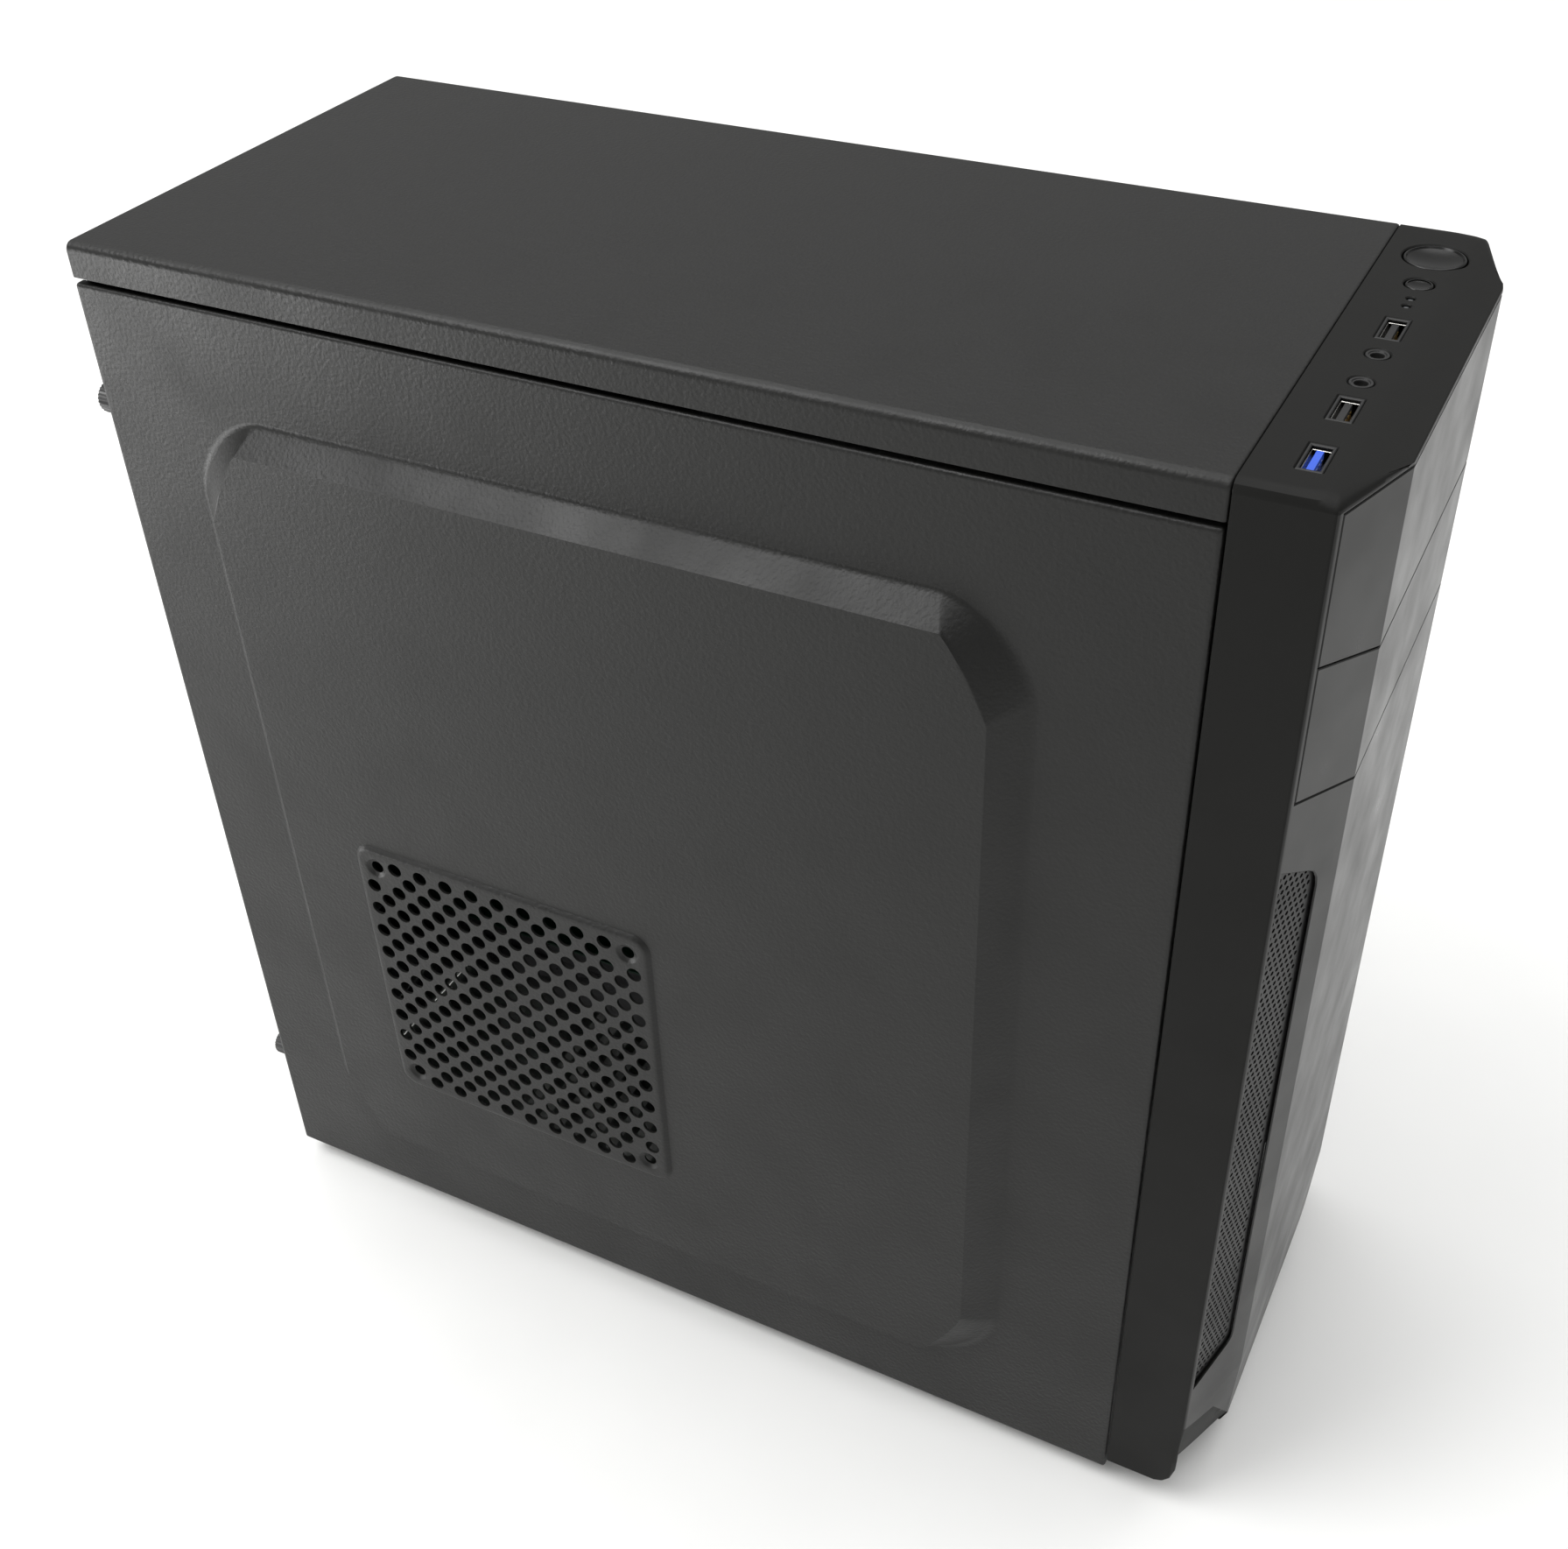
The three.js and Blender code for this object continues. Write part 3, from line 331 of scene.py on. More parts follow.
SLOT_FINISH: dict[str, tuple[Finish, ...]] = {
    "case_paint": (PAINT,),
    "chassis_steel": (ZINC,),
    "foot_rubber": (RUBBER,),
    "screw_black": (SCREW, SCREW_STEEL),
    "bezel_plastic": (BEZEL_MATT_AND_SHADE, BEZEL_SATIN),
    "cover_plastic": (BEZEL_SATIN,),
    "button_plastic": (BUTTON,),
    "led_lens": (LENS,),
    "port_plastic": (PORT_BLACK, NICKEL, GOLD),
    "port_blue": (PORT_BLUE, NICKEL, PORT_BLACK),
    "fan_plastic": (FAN_BLACK, NICKEL),
    "circuit_board": (BOARD_GREEN, PORT_BLACK, ALLOY, GOLD),
    "cast_alloy": (ALLOY, BOARD_GREEN, SCREW_STEEL),
    "port_metal": (NICKEL, PORT_BLACK, PORT_BLUE),
    "supply_paint": (SUPPLY_PAINT, SCREW_STEEL),
    "inlet_plastic": (PORT_BLACK, NICKEL),
}


# ---- forms --------------------------------------------------------------------------------


class Form:
    """A mesh being shaped. Its lengths are millimetres until it becomes a piece."""

    def __init__(self) -> None:
        """Start with an empty mesh."""
        self.bm = bmesh.new()

    @classmethod
    def block(cls, low: Sequence[float], high: Sequence[float], soft: float = 0.0) -> "Form":
        """Make a block with softened edges.

        Args:
            low: Lowest corner.
            high: Highest corner.
            soft: Edge radius.

        Returns:
            The block.
        """
        made = cls()
        a, b = Vector(low), Vector(high)
        place = Matrix.Translation((a + b) / 2) @ Matrix.Diagonal((*(b - a), 1))
        bmesh.ops.create_cube(made.bm, size=1, matrix=place)
        if soft:
            made.soften(soft)
        return made

    @classmethod
    def rod(cls, start: Sequence[float], end: Sequence[float], radius: float, steps: int = 20) -> "Form":
        """Make a round bar between two points.

        Args:
            start: Middle of the first end.
            end: Middle of the other end.
            radius: Radius of the bar.
            steps: Facets round the bar.

        Returns:
            The bar.
        """
        made = cls()
        a, b = Vector(start), Vector(end)
        turn = (b - a).to_track_quat("Z", "Y").to_matrix().to_4x4()
        bmesh.ops.create_cone(
            made.bm,
            cap_ends=True,
            segments=steps,
            radius1=radius,
            radius2=radius,
            depth=(b - a).length,
            matrix=Matrix.Translation((a + b) / 2) @ turn,
        )
        return made

    @classmethod
    def lathe(cls, profile: Sequence[Flat], steps: int = 32) -> "Form":
        """Turn a profile about the Z axis.

        Args:
            profile: Points as radius and height, from axis to axis.
            steps: Facets round the axis.

        Returns:
            The turned form.
        """
        made = cls()
        made.chain([(r, 0, h) for r, h in profile])
        everything = [*made.bm.verts, *made.bm.edges]
        bmesh.ops.spin(
            made.bm, geom=everything, cent=(0, 0, 0), axis=(0, 0, 1), angle=math.tau, steps=steps,
            use_merge=True,
        )
        bmesh.ops.remove_doubles(made.bm, verts=list(made.bm.verts), dist=1e-3)
        bmesh.ops.recalc_face_normals(made.bm, faces=list(made.bm.faces))
        return made

    @classmethod
    def plate(
        cls, outline: Sequence[Flat], holes: Iterable[Sequence[Flat]] = (), thickness: float = 1.0,
        soft: float = 0.2,
    ) -> "Form":
        """Cut a flat plate. Its upper face lies at z 0 and faces up.

        Args:
            outline: Outer corners in the XY plane.
            holes: Corners of each hole.
            thickness: Thickness of the plate.
            soft: Width of the softened rims.

        Returns:
            The plate.
        """
        made = cls()
        edges = made.chain([(u, v, 0) for u, v in outline], closed=True)
        for hole in holes:
            edges += made.chain([(u, v, 0) for u, v in hole], closed=True)
        faces = made.fill(edges)
        if sum(f.normal.z for f in faces) < 0:
            bmesh.ops.reverse_faces(made.bm, faces=faces)
        if soft:
            bmesh.ops.inset_region(
                made.bm, faces=faces, use_boundary=True, use_even_offset=True, thickness=soft, depth=soft,
            )
            bmesh.ops.translate(made.bm, verts=list(made.bm.verts), vec=(0, 0, -soft))
        return made.thicken(thickness) if thickness else made

    @classmethod
    def stack(cls, rows: Sequence[Sequence[Sequence[float]]], closed: bool = True) -> "Form":
        """Skin a stack of rows that have equal numbers of points.

        Args:
            rows: Points of each row.
            closed: Whether each row is a ring; the two ends are then closed too.

        Returns:
            The skin.
        """
        made = cls()
        chains = [made.chain(row, closed) for row in rows]
        made.bridge(chains)
        if closed:
            made.fill(chains[0])
            made.fill(chains[-1])
            bmesh.ops.recalc_face_normals(made.bm, faces=list(made.bm.faces))
        return made

    def chain(self, points: Iterable[Sequence[float]], closed: bool = False) -> Edges:
        """Add a run of edges.

        Args:
            points: The points it passes through.
            closed: Whether it returns to the first point.

        Returns:
            The new edges.
        """
        verts = [self.bm.verts.new(p) for p in points]
        pairs = list(zip(verts, verts[1:] + verts[:1])) if closed else list(zip(verts, verts[1:]))
        return [self.bm.edges.new(pair) for pair in pairs]

    def bridge(self, chains: Sequence[Edges]) -> None:
        """Join neighbouring runs of edges with faces.

        Args:
            chains: The runs, in order.
        """
        for first, second in zip(chains, chains[1:]):
            bmesh.ops.bridge_loops(self.bm, edges=[*first, *second])

    def fill(self, edges: Edges) -> list[bmesh.types.BMFace]:
        """Fill a flat outline and leave out the outlines inside it.

        Args:
            edges: Edges of all the outlines.

        Returns:
            The new faces.
        """
        made = bmesh.ops.triangle_fill(self.bm, use_beauty=True, edges=edges)["geom"]
        faces = [item for item in made if isinstance(item, bmesh.types.BMFace)]
        bmesh.ops.recalc_face_normals(self.bm, faces=faces)
        return faces

    def soften(self, width: float) -> "Form":
        """Round the edges where faces meet at more than SHARP degrees.

        Args:
            width: Radius of the rounding.

        Returns:
            The form.
        """
        sharp = [
            e for e in self.bm.edges if len(e.link_faces) == 2 and e.calc_face_angle() > math.radians(SHARP)
        ]
        bmesh.ops.bevel(
            self.bm, geom=sharp, offset=width, segments=2, profile=0.5, affect="EDGES", material=-1,
            clamp_overlap=True,
        )
        return self

    def thicken(self, thickness: float) -> "Form":
        """Give a sheet its thickness, behind its outer face.

        Args:
            thickness: The thickness.

        Returns:
            The form.
        """
        bmesh.ops.solidify(self.bm, geom=list(self.bm.faces), thickness=thickness)
        return self

    def outward_from(self, inside: Sequence[float]) -> "Form":
        """Make every face of a sheet look away from a point.

        Args:
            inside: The point.

        Returns:
            The form.
        """
        faces = list(self.bm.faces)
        bmesh.ops.recalc_face_normals(self.bm, faces=faces)
        centre = Vector(inside)
        facing = sum(f.calc_area() * f.normal.dot(f.calc_center_median() - centre) for f in faces)
        if facing < 0:
            bmesh.ops.reverse_faces(self.bm, faces=faces)
        return self

    def moved(self, matrix: Matrix) -> "Form":
        """Move the form; a mirrored form keeps its faces outwards.

        Args:
            matrix: Where to move it.

        Returns:
            The form.
        """
        bmesh.ops.transform(self.bm, matrix=matrix, verts=list(self.bm.verts))
        if matrix.determinant() < 0:
            bmesh.ops.reverse_faces(self.bm, faces=list(self.bm.faces))
        return self

    def shifted(self, x: float, y: float, z: float) -> "Form":
        """Shift the form.

        Args:
            x: Distance along X.
            y: Distance along Y.
            z: Distance along Z.

        Returns:
            The form.
        """
        return self.moved(Matrix.Translation((x, y, z)))

    def turned_over(self, z: float) -> "Form":
        """Mirror the form in the XY plane and raise it.

        Args:
            z: Where its upper face, now its lower one, comes to lie.

        Returns:
            The form.
        """
        return self.moved(Matrix.Translation((0, 0, z)) @ Matrix.Scale(-1, 4, (0, 0, 1)))

    def bent(self, place: Callable[[Vector], Vector]) -> "Form":
        """Carry every point through a function.

        Args:
            place: Gives a point's new position.

        Returns:
            The form.
        """
        for vert in self.bm.verts:
            vert.co = place(vert.co)
        self.bm.normal_update()
        return self

    def sliced(
        self, point: Sequence[float], normal: Sequence[float], near: Callable[[Vector], bool] | None = None,
    ) -> "Form":
        """Add edges where a plane crosses the form.

        Args:
            point: A point of the plane.
            normal: The plane's direction.
            near: Picks the faces to slice by their middle, all if None.

        Returns:
            The form.
        """
        faces = [f for f in self.bm.faces if near is None or near(f.calc_center_median())]
        geometry = {item for f in faces for item in (f, *f.edges, *f.verts)}
        bmesh.ops.bisect_plane(self.bm, geom=list(geometry), dist=1e-4, plane_co=point, plane_no=normal)
        return self

    def dressed(self, index: int) -> "Form":
        """Give all faces one of the piece's finishes.

        Args:
            index: Place of the finish in the slot's list.

        Returns:
            The form.
        """
        for face in self.bm.faces:
            face.material_index = index
        return self

    def fan_out(self, count: int) -> "Form":
        """Repeat the form round the Z axis.

        Args:
            count: Number of copies in a full turn.

        Returns:
            The form.
        """
        everything = [*self.bm.verts, *self.bm.edges, *self.bm.faces]
        bmesh.ops.spin(
            self.bm, geom=everything, cent=(0, 0, 0), axis=(0, 0, 1), angle=math.tau * (count - 1) / count,
            steps=count - 1, use_duplicate=True,
        )
        return self

    def add(self, *others: "Form") -> "Form":
        """Take in other forms.

        Args:
            others: The forms, which are used up.

        Returns:
            The form.
        """
        for other in others:
            carrier = bpy.data.meshes.new("carrier")
            other.bm.to_mesh(carrier)
            self.bm.from_mesh(carrier)
            bpy.data.meshes.remove(carrier)
            other.bm.free()
        return self


def gather(forms: Iterable[Form]) -> Form:
    """Join forms into one.

    Args:
        forms: The forms, which are used up.

    Returns:
        The joined form.
    """
    return Form().add(*forms)


@dataclass(frozen=True)
class Piece:
    """A finished piece: what it stands for, what carries it and how it is finished."""

    node: str
    crease: float = 40.0
    finishes: tuple[Finish, ...] = ()

    def make(self, form: Form) -> bpy.types.Object:
        """Turn a form into the piece.

        Args:
            form: The form in case millimetres, which is used up.

        Returns:
            The new object.
        """
        slot = next(p["material_slot"] for p in frame["record"]["subparts"] if p["node"] == self.node)
        form.moved(TO_ROW)
        for face in form.bm.faces:
            face.smooth = True
        limit = math.radians(self.crease)
        for edge in form.bm.edges:
            edge.smooth = len(edge.link_faces) == 2 and edge.calc_face_angle() < limit
        mesh = bpy.data.meshes.new(f"{self.node}_look")
        form.bm.to_mesh(mesh)
        form.bm.free()
        for finish in self.finishes or SLOT_FINISH[slot]:
            mesh.materials.append(finish.material())
        made = bpy.data.objects.new(f"{self.node}_look", mesh)
        bpy.context.scene.collection.objects.link(made)
        weighted = made.modifiers.new("even_shading", "WEIGHTED_NORMAL")
        weighted.keep_sharp = True
        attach(made, frame["nodes"][self.node]["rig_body"])
        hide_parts(self.node)
        LOG.info("%s: %d faces", self.node, len(mesh.polygons))
        return made


# ---- outlines -----------------------------------------------------------------------------


def circle(u: float, v: float, radius: float, steps: int = 16, turn: float = 0.0) -> list[Flat]:
    """Return the corners of a round or regular outline.

    Args:
        u: First coordinate of the middle.
        v: Second coordinate of the middle.
        radius: Radius to the corners.
        steps: Number of corners.
        turn: Angle of the first corner in degrees.
    """
    start = math.radians(turn)
    return [
        (
            u + radius * math.cos(start + math.tau * k / steps),
            v + radius * math.sin(start + math.tau * k / steps),
        )
        for k in range(steps)
    ]


def rectangle(u0: float, u1: float, v0: float, v1: float) -> list[Flat]:
    """Return the corners of a rectangle.

    Args:
        u0: Lowest first coordinate.
        u1: Highest first coordinate.
        v0: Lowest second coordinate.
        v1: Highest second coordinate.
    """
    return [(u0, v0), (u1, v0), (u1, v1), (u0, v1)]


def soft_rectangle(
    u0: float, u1: float, v0: float, v1: float, wide: float, tall: float | None = None, power: float = 2.0,
    steps: int = 6,
) -> list[Flat]:
    """Return a rectangle whose corners are cut by a curve.

    Args:
        u0: Lowest first coordinate.
        u1: Highest first coordinate.
        v0: Lowest second coordinate.
        v1: Highest second coordinate.
        wide: How far the corner reaches along the first coordinate.
        tall: How far it reaches along the second, the same if None.
        power: 2 for a round corner, near 1 for a flat one.
        steps: Facets in each corner.
    """
    rise = wide if tall is None else tall
    corners = [
        (u1 - wide, v1 - rise, 0), (u0 + wide, v1 - rise, 1), (u0 + wide, v0 + rise, 2),
        (u1 - wide, v0 + rise, 3),
    ]
    points: list[Flat] = []
    for cu, cv, quarter in corners:
        for k in range(steps + 1):
            angle = (quarter + k / steps) * math.pi / 2
            c, s = math.cos(angle), math.sin(angle)
            u = cu + wide * math.copysign(abs(c) ** (2 / power), c)
            v = cv + rise * math.copysign(abs(s) ** (2 / power), s)
            points.append((u, v))
    return points


def honeycomb(
    u0: float, u1: float, v0: float, v1: float, pitch: Flat, radius: float,
    keep: Callable[[float, float], bool],
) -> list[list[Flat]]:
    """Return staggered rows of holes.

    Args:
        u0: Lowest first coordinate.
        u1: Highest first coordinate.
        v0: Lowest second coordinate.
        v1: Highest second coordinate.
        pitch: Distance between columns and between rows.
        radius: Radius of each hole.
        keep: Says whether there is a hole at a place.
    """
    rows = int((v1 - v0) / pitch[1]) + 1
    columns = int((u1 - u0) / pitch[0]) + 1
    return [
        circle(u, v, radius, 6)
        for j in range(rows)
        for i in range(columns)
        for u, v in [(u0 + (i + 0.5 * (j % 2)) * pitch[0], v0 + j * pitch[1])]
        if u <= u1 and keep(u, v)
    ]


XZ = Matrix(((1, 0, 0, 0), (0, 0, -1, 0), (0, 1, 0, 0), (0, 0, 0, 1)))
"""Carries a plate's plane to XZ so that its upper face looks forward, to -Y."""

XZ_BACK = Matrix(((-1, 0, 0, 0), (0, 0, 1, 0), (0, 1, 0, 0), (0, 0, 0, 1)))
"""Carries a plate's plane to XZ, with x reversed, so that its upper face looks back, to +Y."""


def standing(form: Form, y: float, back: bool = False) -> Form:
    """Stand a plate upright.

    Args:
        form: The plate.
        y: Where its outer face stands.
        back: Whether that face looks back instead of forward.

    Returns:
        The form.
    """
    turn = XZ_BACK if back else XZ
    return form.moved(Matrix.Translation((0, y, 0)) @ turn)


# ---- steel skins --------------------------------------------------------------------------


class Side(Enum):
    """A side of the tower, seen from the front."""

    LEFT = -1
    RIGHT = 1


@dataclass(frozen=True)
class Bulge:
    """The pressed bulge of a side panel: rounded at its foot, flat-cornered on top."""

    front: float = 44.0
    back: float = 337.0
    low: float = 31.0
    high: float = 363.5
    rise: float = 9.0
    walls: tuple[float, float, float, float] = (11.9, 11.0, 10.2, 8.9)
    foot_corner: float = 31.0
    top_corner: Flat = (14.7, 26.4)
    section: tuple[Flat, ...] = (
        (0, 0), (0.08, 0.012), (0.16, 0.05), (0.26, 0.14), (0.5, 0.43), (0.84, 0.82), (0.93, 0.92),
        (0.975, 0.972), (1, 1),
    )

    def rows(self) -> list[list[tuple[float, float, float]]]:
        """Return the bulge's rings from foot to top."""
        rings = []
        for t, h in self.section:
            a, b, c, d = (w * t for w in self.walls)
            wide = self.foot_corner + (self.top_corner[0] - self.foot_corner) * t
            tall = self.foot_corner + (self.top_corner[1] - self.foot_corner) * t
            outline = soft_rectangle(
                self.front + a, self.back - b, self.low + c, self.high - d, wide, tall, 1.75 - 0.6 * t, 8,
            )
            rings.append([(u, v, self.rise * h) for u, v in outline])
        return rings


@dataclass(frozen=True)
class Vent:
    """The raised, perforated vent of the left panel, with four screw holes for a fan."""

    y: float = 234.0
    z: float = 142.5
    half: float = 61.5
    rise: float = 1.5
    corner: float = 7.0
    count: int = 11
    pitch: float = 10.95
    hole: float = 2.9
    screw: float = 52.5
    dimple: float = 4.4
    section: tuple[Flat, ...] = ((0, 0), (0.3, 0.28), (1.1, 1.12), (1.7, 1.42), (2.6, 1.5))

    def rows(self, base: float) -> list[list[tuple[float, float, float]]]:
        """Return the rings of the vent's rim.

        Args:
            base: Height of the flat it stands on.
        """
        rings = []
        for inset, height in self.section:
            h = self.half - inset
            outline = soft_rectangle(self.y - h, self.y + h, self.z - h, self.z + h, self.corner - inset)
            rings.append([(u, v, base + height) for u, v in outline])
        return rings

    def holes(self) -> list[list[Flat]]:
        """Return the outlines of the round holes, in two staggered lattices."""
        found = []
        for count in (self.count, self.count - 1):
            reach = (count - 1) / 2
            last = count - 1
            for i in range(count):
                for j in range(count):
                    if i in (0, last) and j in (0, last):
                        continue
                    found.append(
                        circle(
                            self.y + (i - reach) * self.pitch, self.z + (j - reach) * self.pitch, self.hole,
                            14,
                        )
                    )
        return found

    def screw_places(self) -> list[Flat]:
        """Return the middles of the four screw holes."""
        return [(self.y + a * self.screw, self.z + b * self.screw) for a in (-1, 1) for b in (-1, 1)]


@dataclass(frozen=True)
class SidePanel:
    """One of the two side panels, with rolled edges and a rear flange for its thumbscrews."""

    side: Side
    vent: Vent | None = None
    bulge: Bulge = Bulge()
    sheet: float = 1.0
    top: float = 398.6
    gap: float = 0.3
    corner: float = 1.2
    flange_x: Flat = (66.0, 86.8)
    flange_z: Flat = (14.0, 384.6)
    screw_x: float = 77.0
    screw_z: tuple[float, float] = (47.0, 353.0)
    roll: tuple[Flat, ...] = ((1.7, 0), (1.0, -0.1), (0.45, -0.4), (0.1, -0.9), (0, -1.6), (0, -3.3))

    def edge_rows(self) -> list[list[tuple[float, float, float]]]:
        """Return the rings of the rolled edge, from the flat to the hem."""
        rings = []
        for inset, height in self.roll:
            outline = soft_rectangle(
                self.gap + inset, CASE_D - inset, inset, self.top - inset, max(self.corner - inset, 0.6),
            )
            rings.append([(u, v, height) for u, v in outline])
        return rings

    def skin(self) -> Form:
        """Press the sheet in its own plane: y, z and height above the flat."""
        form = Form()
        rolled = [form.chain(row, True) for row in self.edge_rows()]
        pressed = [form.chain(row, True) for row in self.bulge.rows()]
        form.bridge(rolled)
        form.bridge(pressed)
        form.fill([*rolled[0], *pressed[0]])
        if self.vent is None:
            form.fill(pressed[-1])
        else:
            rim = [form.chain(row, True) for row in self.vent.rows(self.bulge.rise)]
            form.bridge(rim)
            form.fill([*pressed[-1], *rim[0]])
            height = self.bulge.rise + self.vent.rise
            edges = list(rim[-1])
            for hole in self.vent.holes():
                edges += form.chain([(u, v, height) for u, v in hole], True)
            for u, v in self.vent.screw_places():
                dimple = [(self.vent.dimple, 0), (3.9, 0.35), (3.0, 1.0), (2.5, 1.15)]
                rings = [
                    form.chain([(a, b, height - d) for a, b in circle(u, v, r, 20)], True) for r, d in dimple
                ]
                form.bridge(rings)
                edges += rings[0]
            form.fill(edges)
        s = self.side.value
        turn = Matrix(((0, 0, s, s * HALF_W), (1, 0, 0, 0), (0, 1, 0, 0), (0, 0, 0, 1)))
        return form.moved(turn).outward_from((0, 185, 200)).thicken(self.sheet)

    def flange(self) -> Form:
        """Fold the rear flange that the thumbscrews pass through."""
        x0, x1 = (-x for x in reversed(self.flange_x)) if self.side is Side.RIGHT else self.flange_x
        z0, z1 = self.flange_z
        outline = soft_rectangle(x0, x1, z0, z1, 2)
        holes = [circle(-self.side.value * self.screw_x, z, 2.4, 16) for z in self.screw_z]
        return standing(Form.plate(outline, holes, self.sheet, 0.15), CASE_D, back=True)

    def build(self) -> None:
        """Make the panel."""
        Piece(f"side_panel_{self.side.name.lower()}").make(self.skin().add(self.flange()))


@dataclass(frozen=True)
class TopCover:
    """The folded sheet over the top, with a short flange down each side."""

    low: float = 400.6
    fold: float = 3.0
    sheet: float = 1.0
    lip: float = 7.0
    facets: int = 6

    def arch(self, y: float, inset: float) -> list[tuple[float, float, float]]:
        """Return the cover's section at one place.

        Args:
            y: Where the section stands.
            inset: How far it lies inside the outer skin.
        """
        half, top = HALF_W - inset, CASE_H - inset
        r = max(self.fold - inset, 0.4)
        points = [(-half, y, self.low)]
        for side, start in ((-1, math.pi), (1, math.pi / 2)):
            for k in range(self.facets + 1):
                angle = start - k / self.facets * math.pi / 2
                points.append((side * (half - r) + r * math.cos(angle), y, top - r + r * math.sin(angle)))
        return [*points, (half, y, self.low)]

    def build(self) -> None:
        """Make the cover."""
        front = [(0.0, self.lip), (0.0, 1.0), (0.12, 0.55), (0.4, 0.2), (1.0, 0.0)]
        rows = [self.arch(y, d) for y, d in front] + [self.arch(CASE_D - y, d) for y, d in reversed(front)]
        form = Form.stack(rows, closed=False)
        Piece("top_cover").make(form.outward_from((0, 185, 300)).thicken(self.sheet))


@dataclass(frozen=True)
class Thumbscrew:
    """A knurled thumbscrew that looks back, with a cross recess and a threaded shank."""

    node: str
    teeth: int = 26
    radius: float = 5.5
    groove: float = 0.35
    recess: float = 1.5
    shank: float = 1.6

    def ring(self, depth: float, shrink: float) -> list[tuple[float, float, float]]:
        """Return one toothed ring of the head.

        Args:
            depth: Distance in front of the head's outer face.
            shrink: How much smaller than the full head it is.
        """
        full = 2 * self.teeth
        return [
            ((self.radius - shrink - self.groove * (k % 2)) * math.cos(math.tau * k / full),
             (self.radius - shrink - self.groove * (k % 2)) * math.sin(math.tau * k / full), -depth)
            for k in range(full)
        ]

    def build(self) -> None:
        """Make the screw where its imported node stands."""
        low, high = case_box(self.node)
        long = high.y - low.y
        head = 9.9
        form = Form()
        rings = [
            form.chain(self.ring(d, s), True)
            for d, s in ((0, 0.9), (0.3, 0.35), (0.9, 0), (head - 0.9, 0), (head - 0.2, 0.5), (head, 1.2))
        ]
        form.bridge(rings)
        a, b = 0.7, 3.0
        cross = [
            (b, -a), (b, a), (a, a), (a, b), (-a, b), (-a, a), (-b, a), (-b, -a), (-a, -a), (-a, -b), (a, -b),
            (a, -a),
        ]
        slots = [
            form.chain([(u * k, v * k, -d) for u, v in cross], True) for d, k in ((0, 1), (self.recess, 0.8))
        ]
        form.bridge(slots)
        form.fill([*rings[0], *slots[0]])
        form.fill(slots[1])
        form.fill(rings[-1])
        bmesh.ops.recalc_face_normals(form.bm, faces=list(form.bm.faces))
        turns = int((long - head) / 0.6)
        ridges = [(self.shank - 0.22 * (k % 2), -head - k * 0.3) for k in range(2 * turns)]
        form.add(Form.lathe([(0, -head), *ridges, (1.0, -long), (0, -long)], 16).dressed(1))
        middle = ((low.x + high.x) / 2, high.y, (low.z + high.z) / 2)
        Piece(self.node).make(form.moved(Matrix.Translation(middle) @ XZ_BACK))


@dataclass(frozen=True)
class Foot:
    """A round rubber foot with a recessed middle for its screw."""

    node: str
    profile: tuple[Flat, ...] = (
        (0, 0), (11, 0), (11, -0.9), (10.7, -4), (10.2, -6.6), (9.7, -7.4), (9.0, -7.7),
        (6.6, -7.7), (6.0, -7.3), (5.6, -6.2), (3.2, -5.8), (2.6, -5.2), (2.2, -3.4), (0, -3.4),
    )

    def build(self) -> None:
        """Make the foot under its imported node's place."""
        low, high = case_box(self.node)
        form = Form.lathe(self.profile, 40)
        Piece(self.node).make(form.shifted((low.x + high.x) / 2, (low.y + high.y) / 2, high.z))


# ---- bezel --------------------------------------------------------------------------------


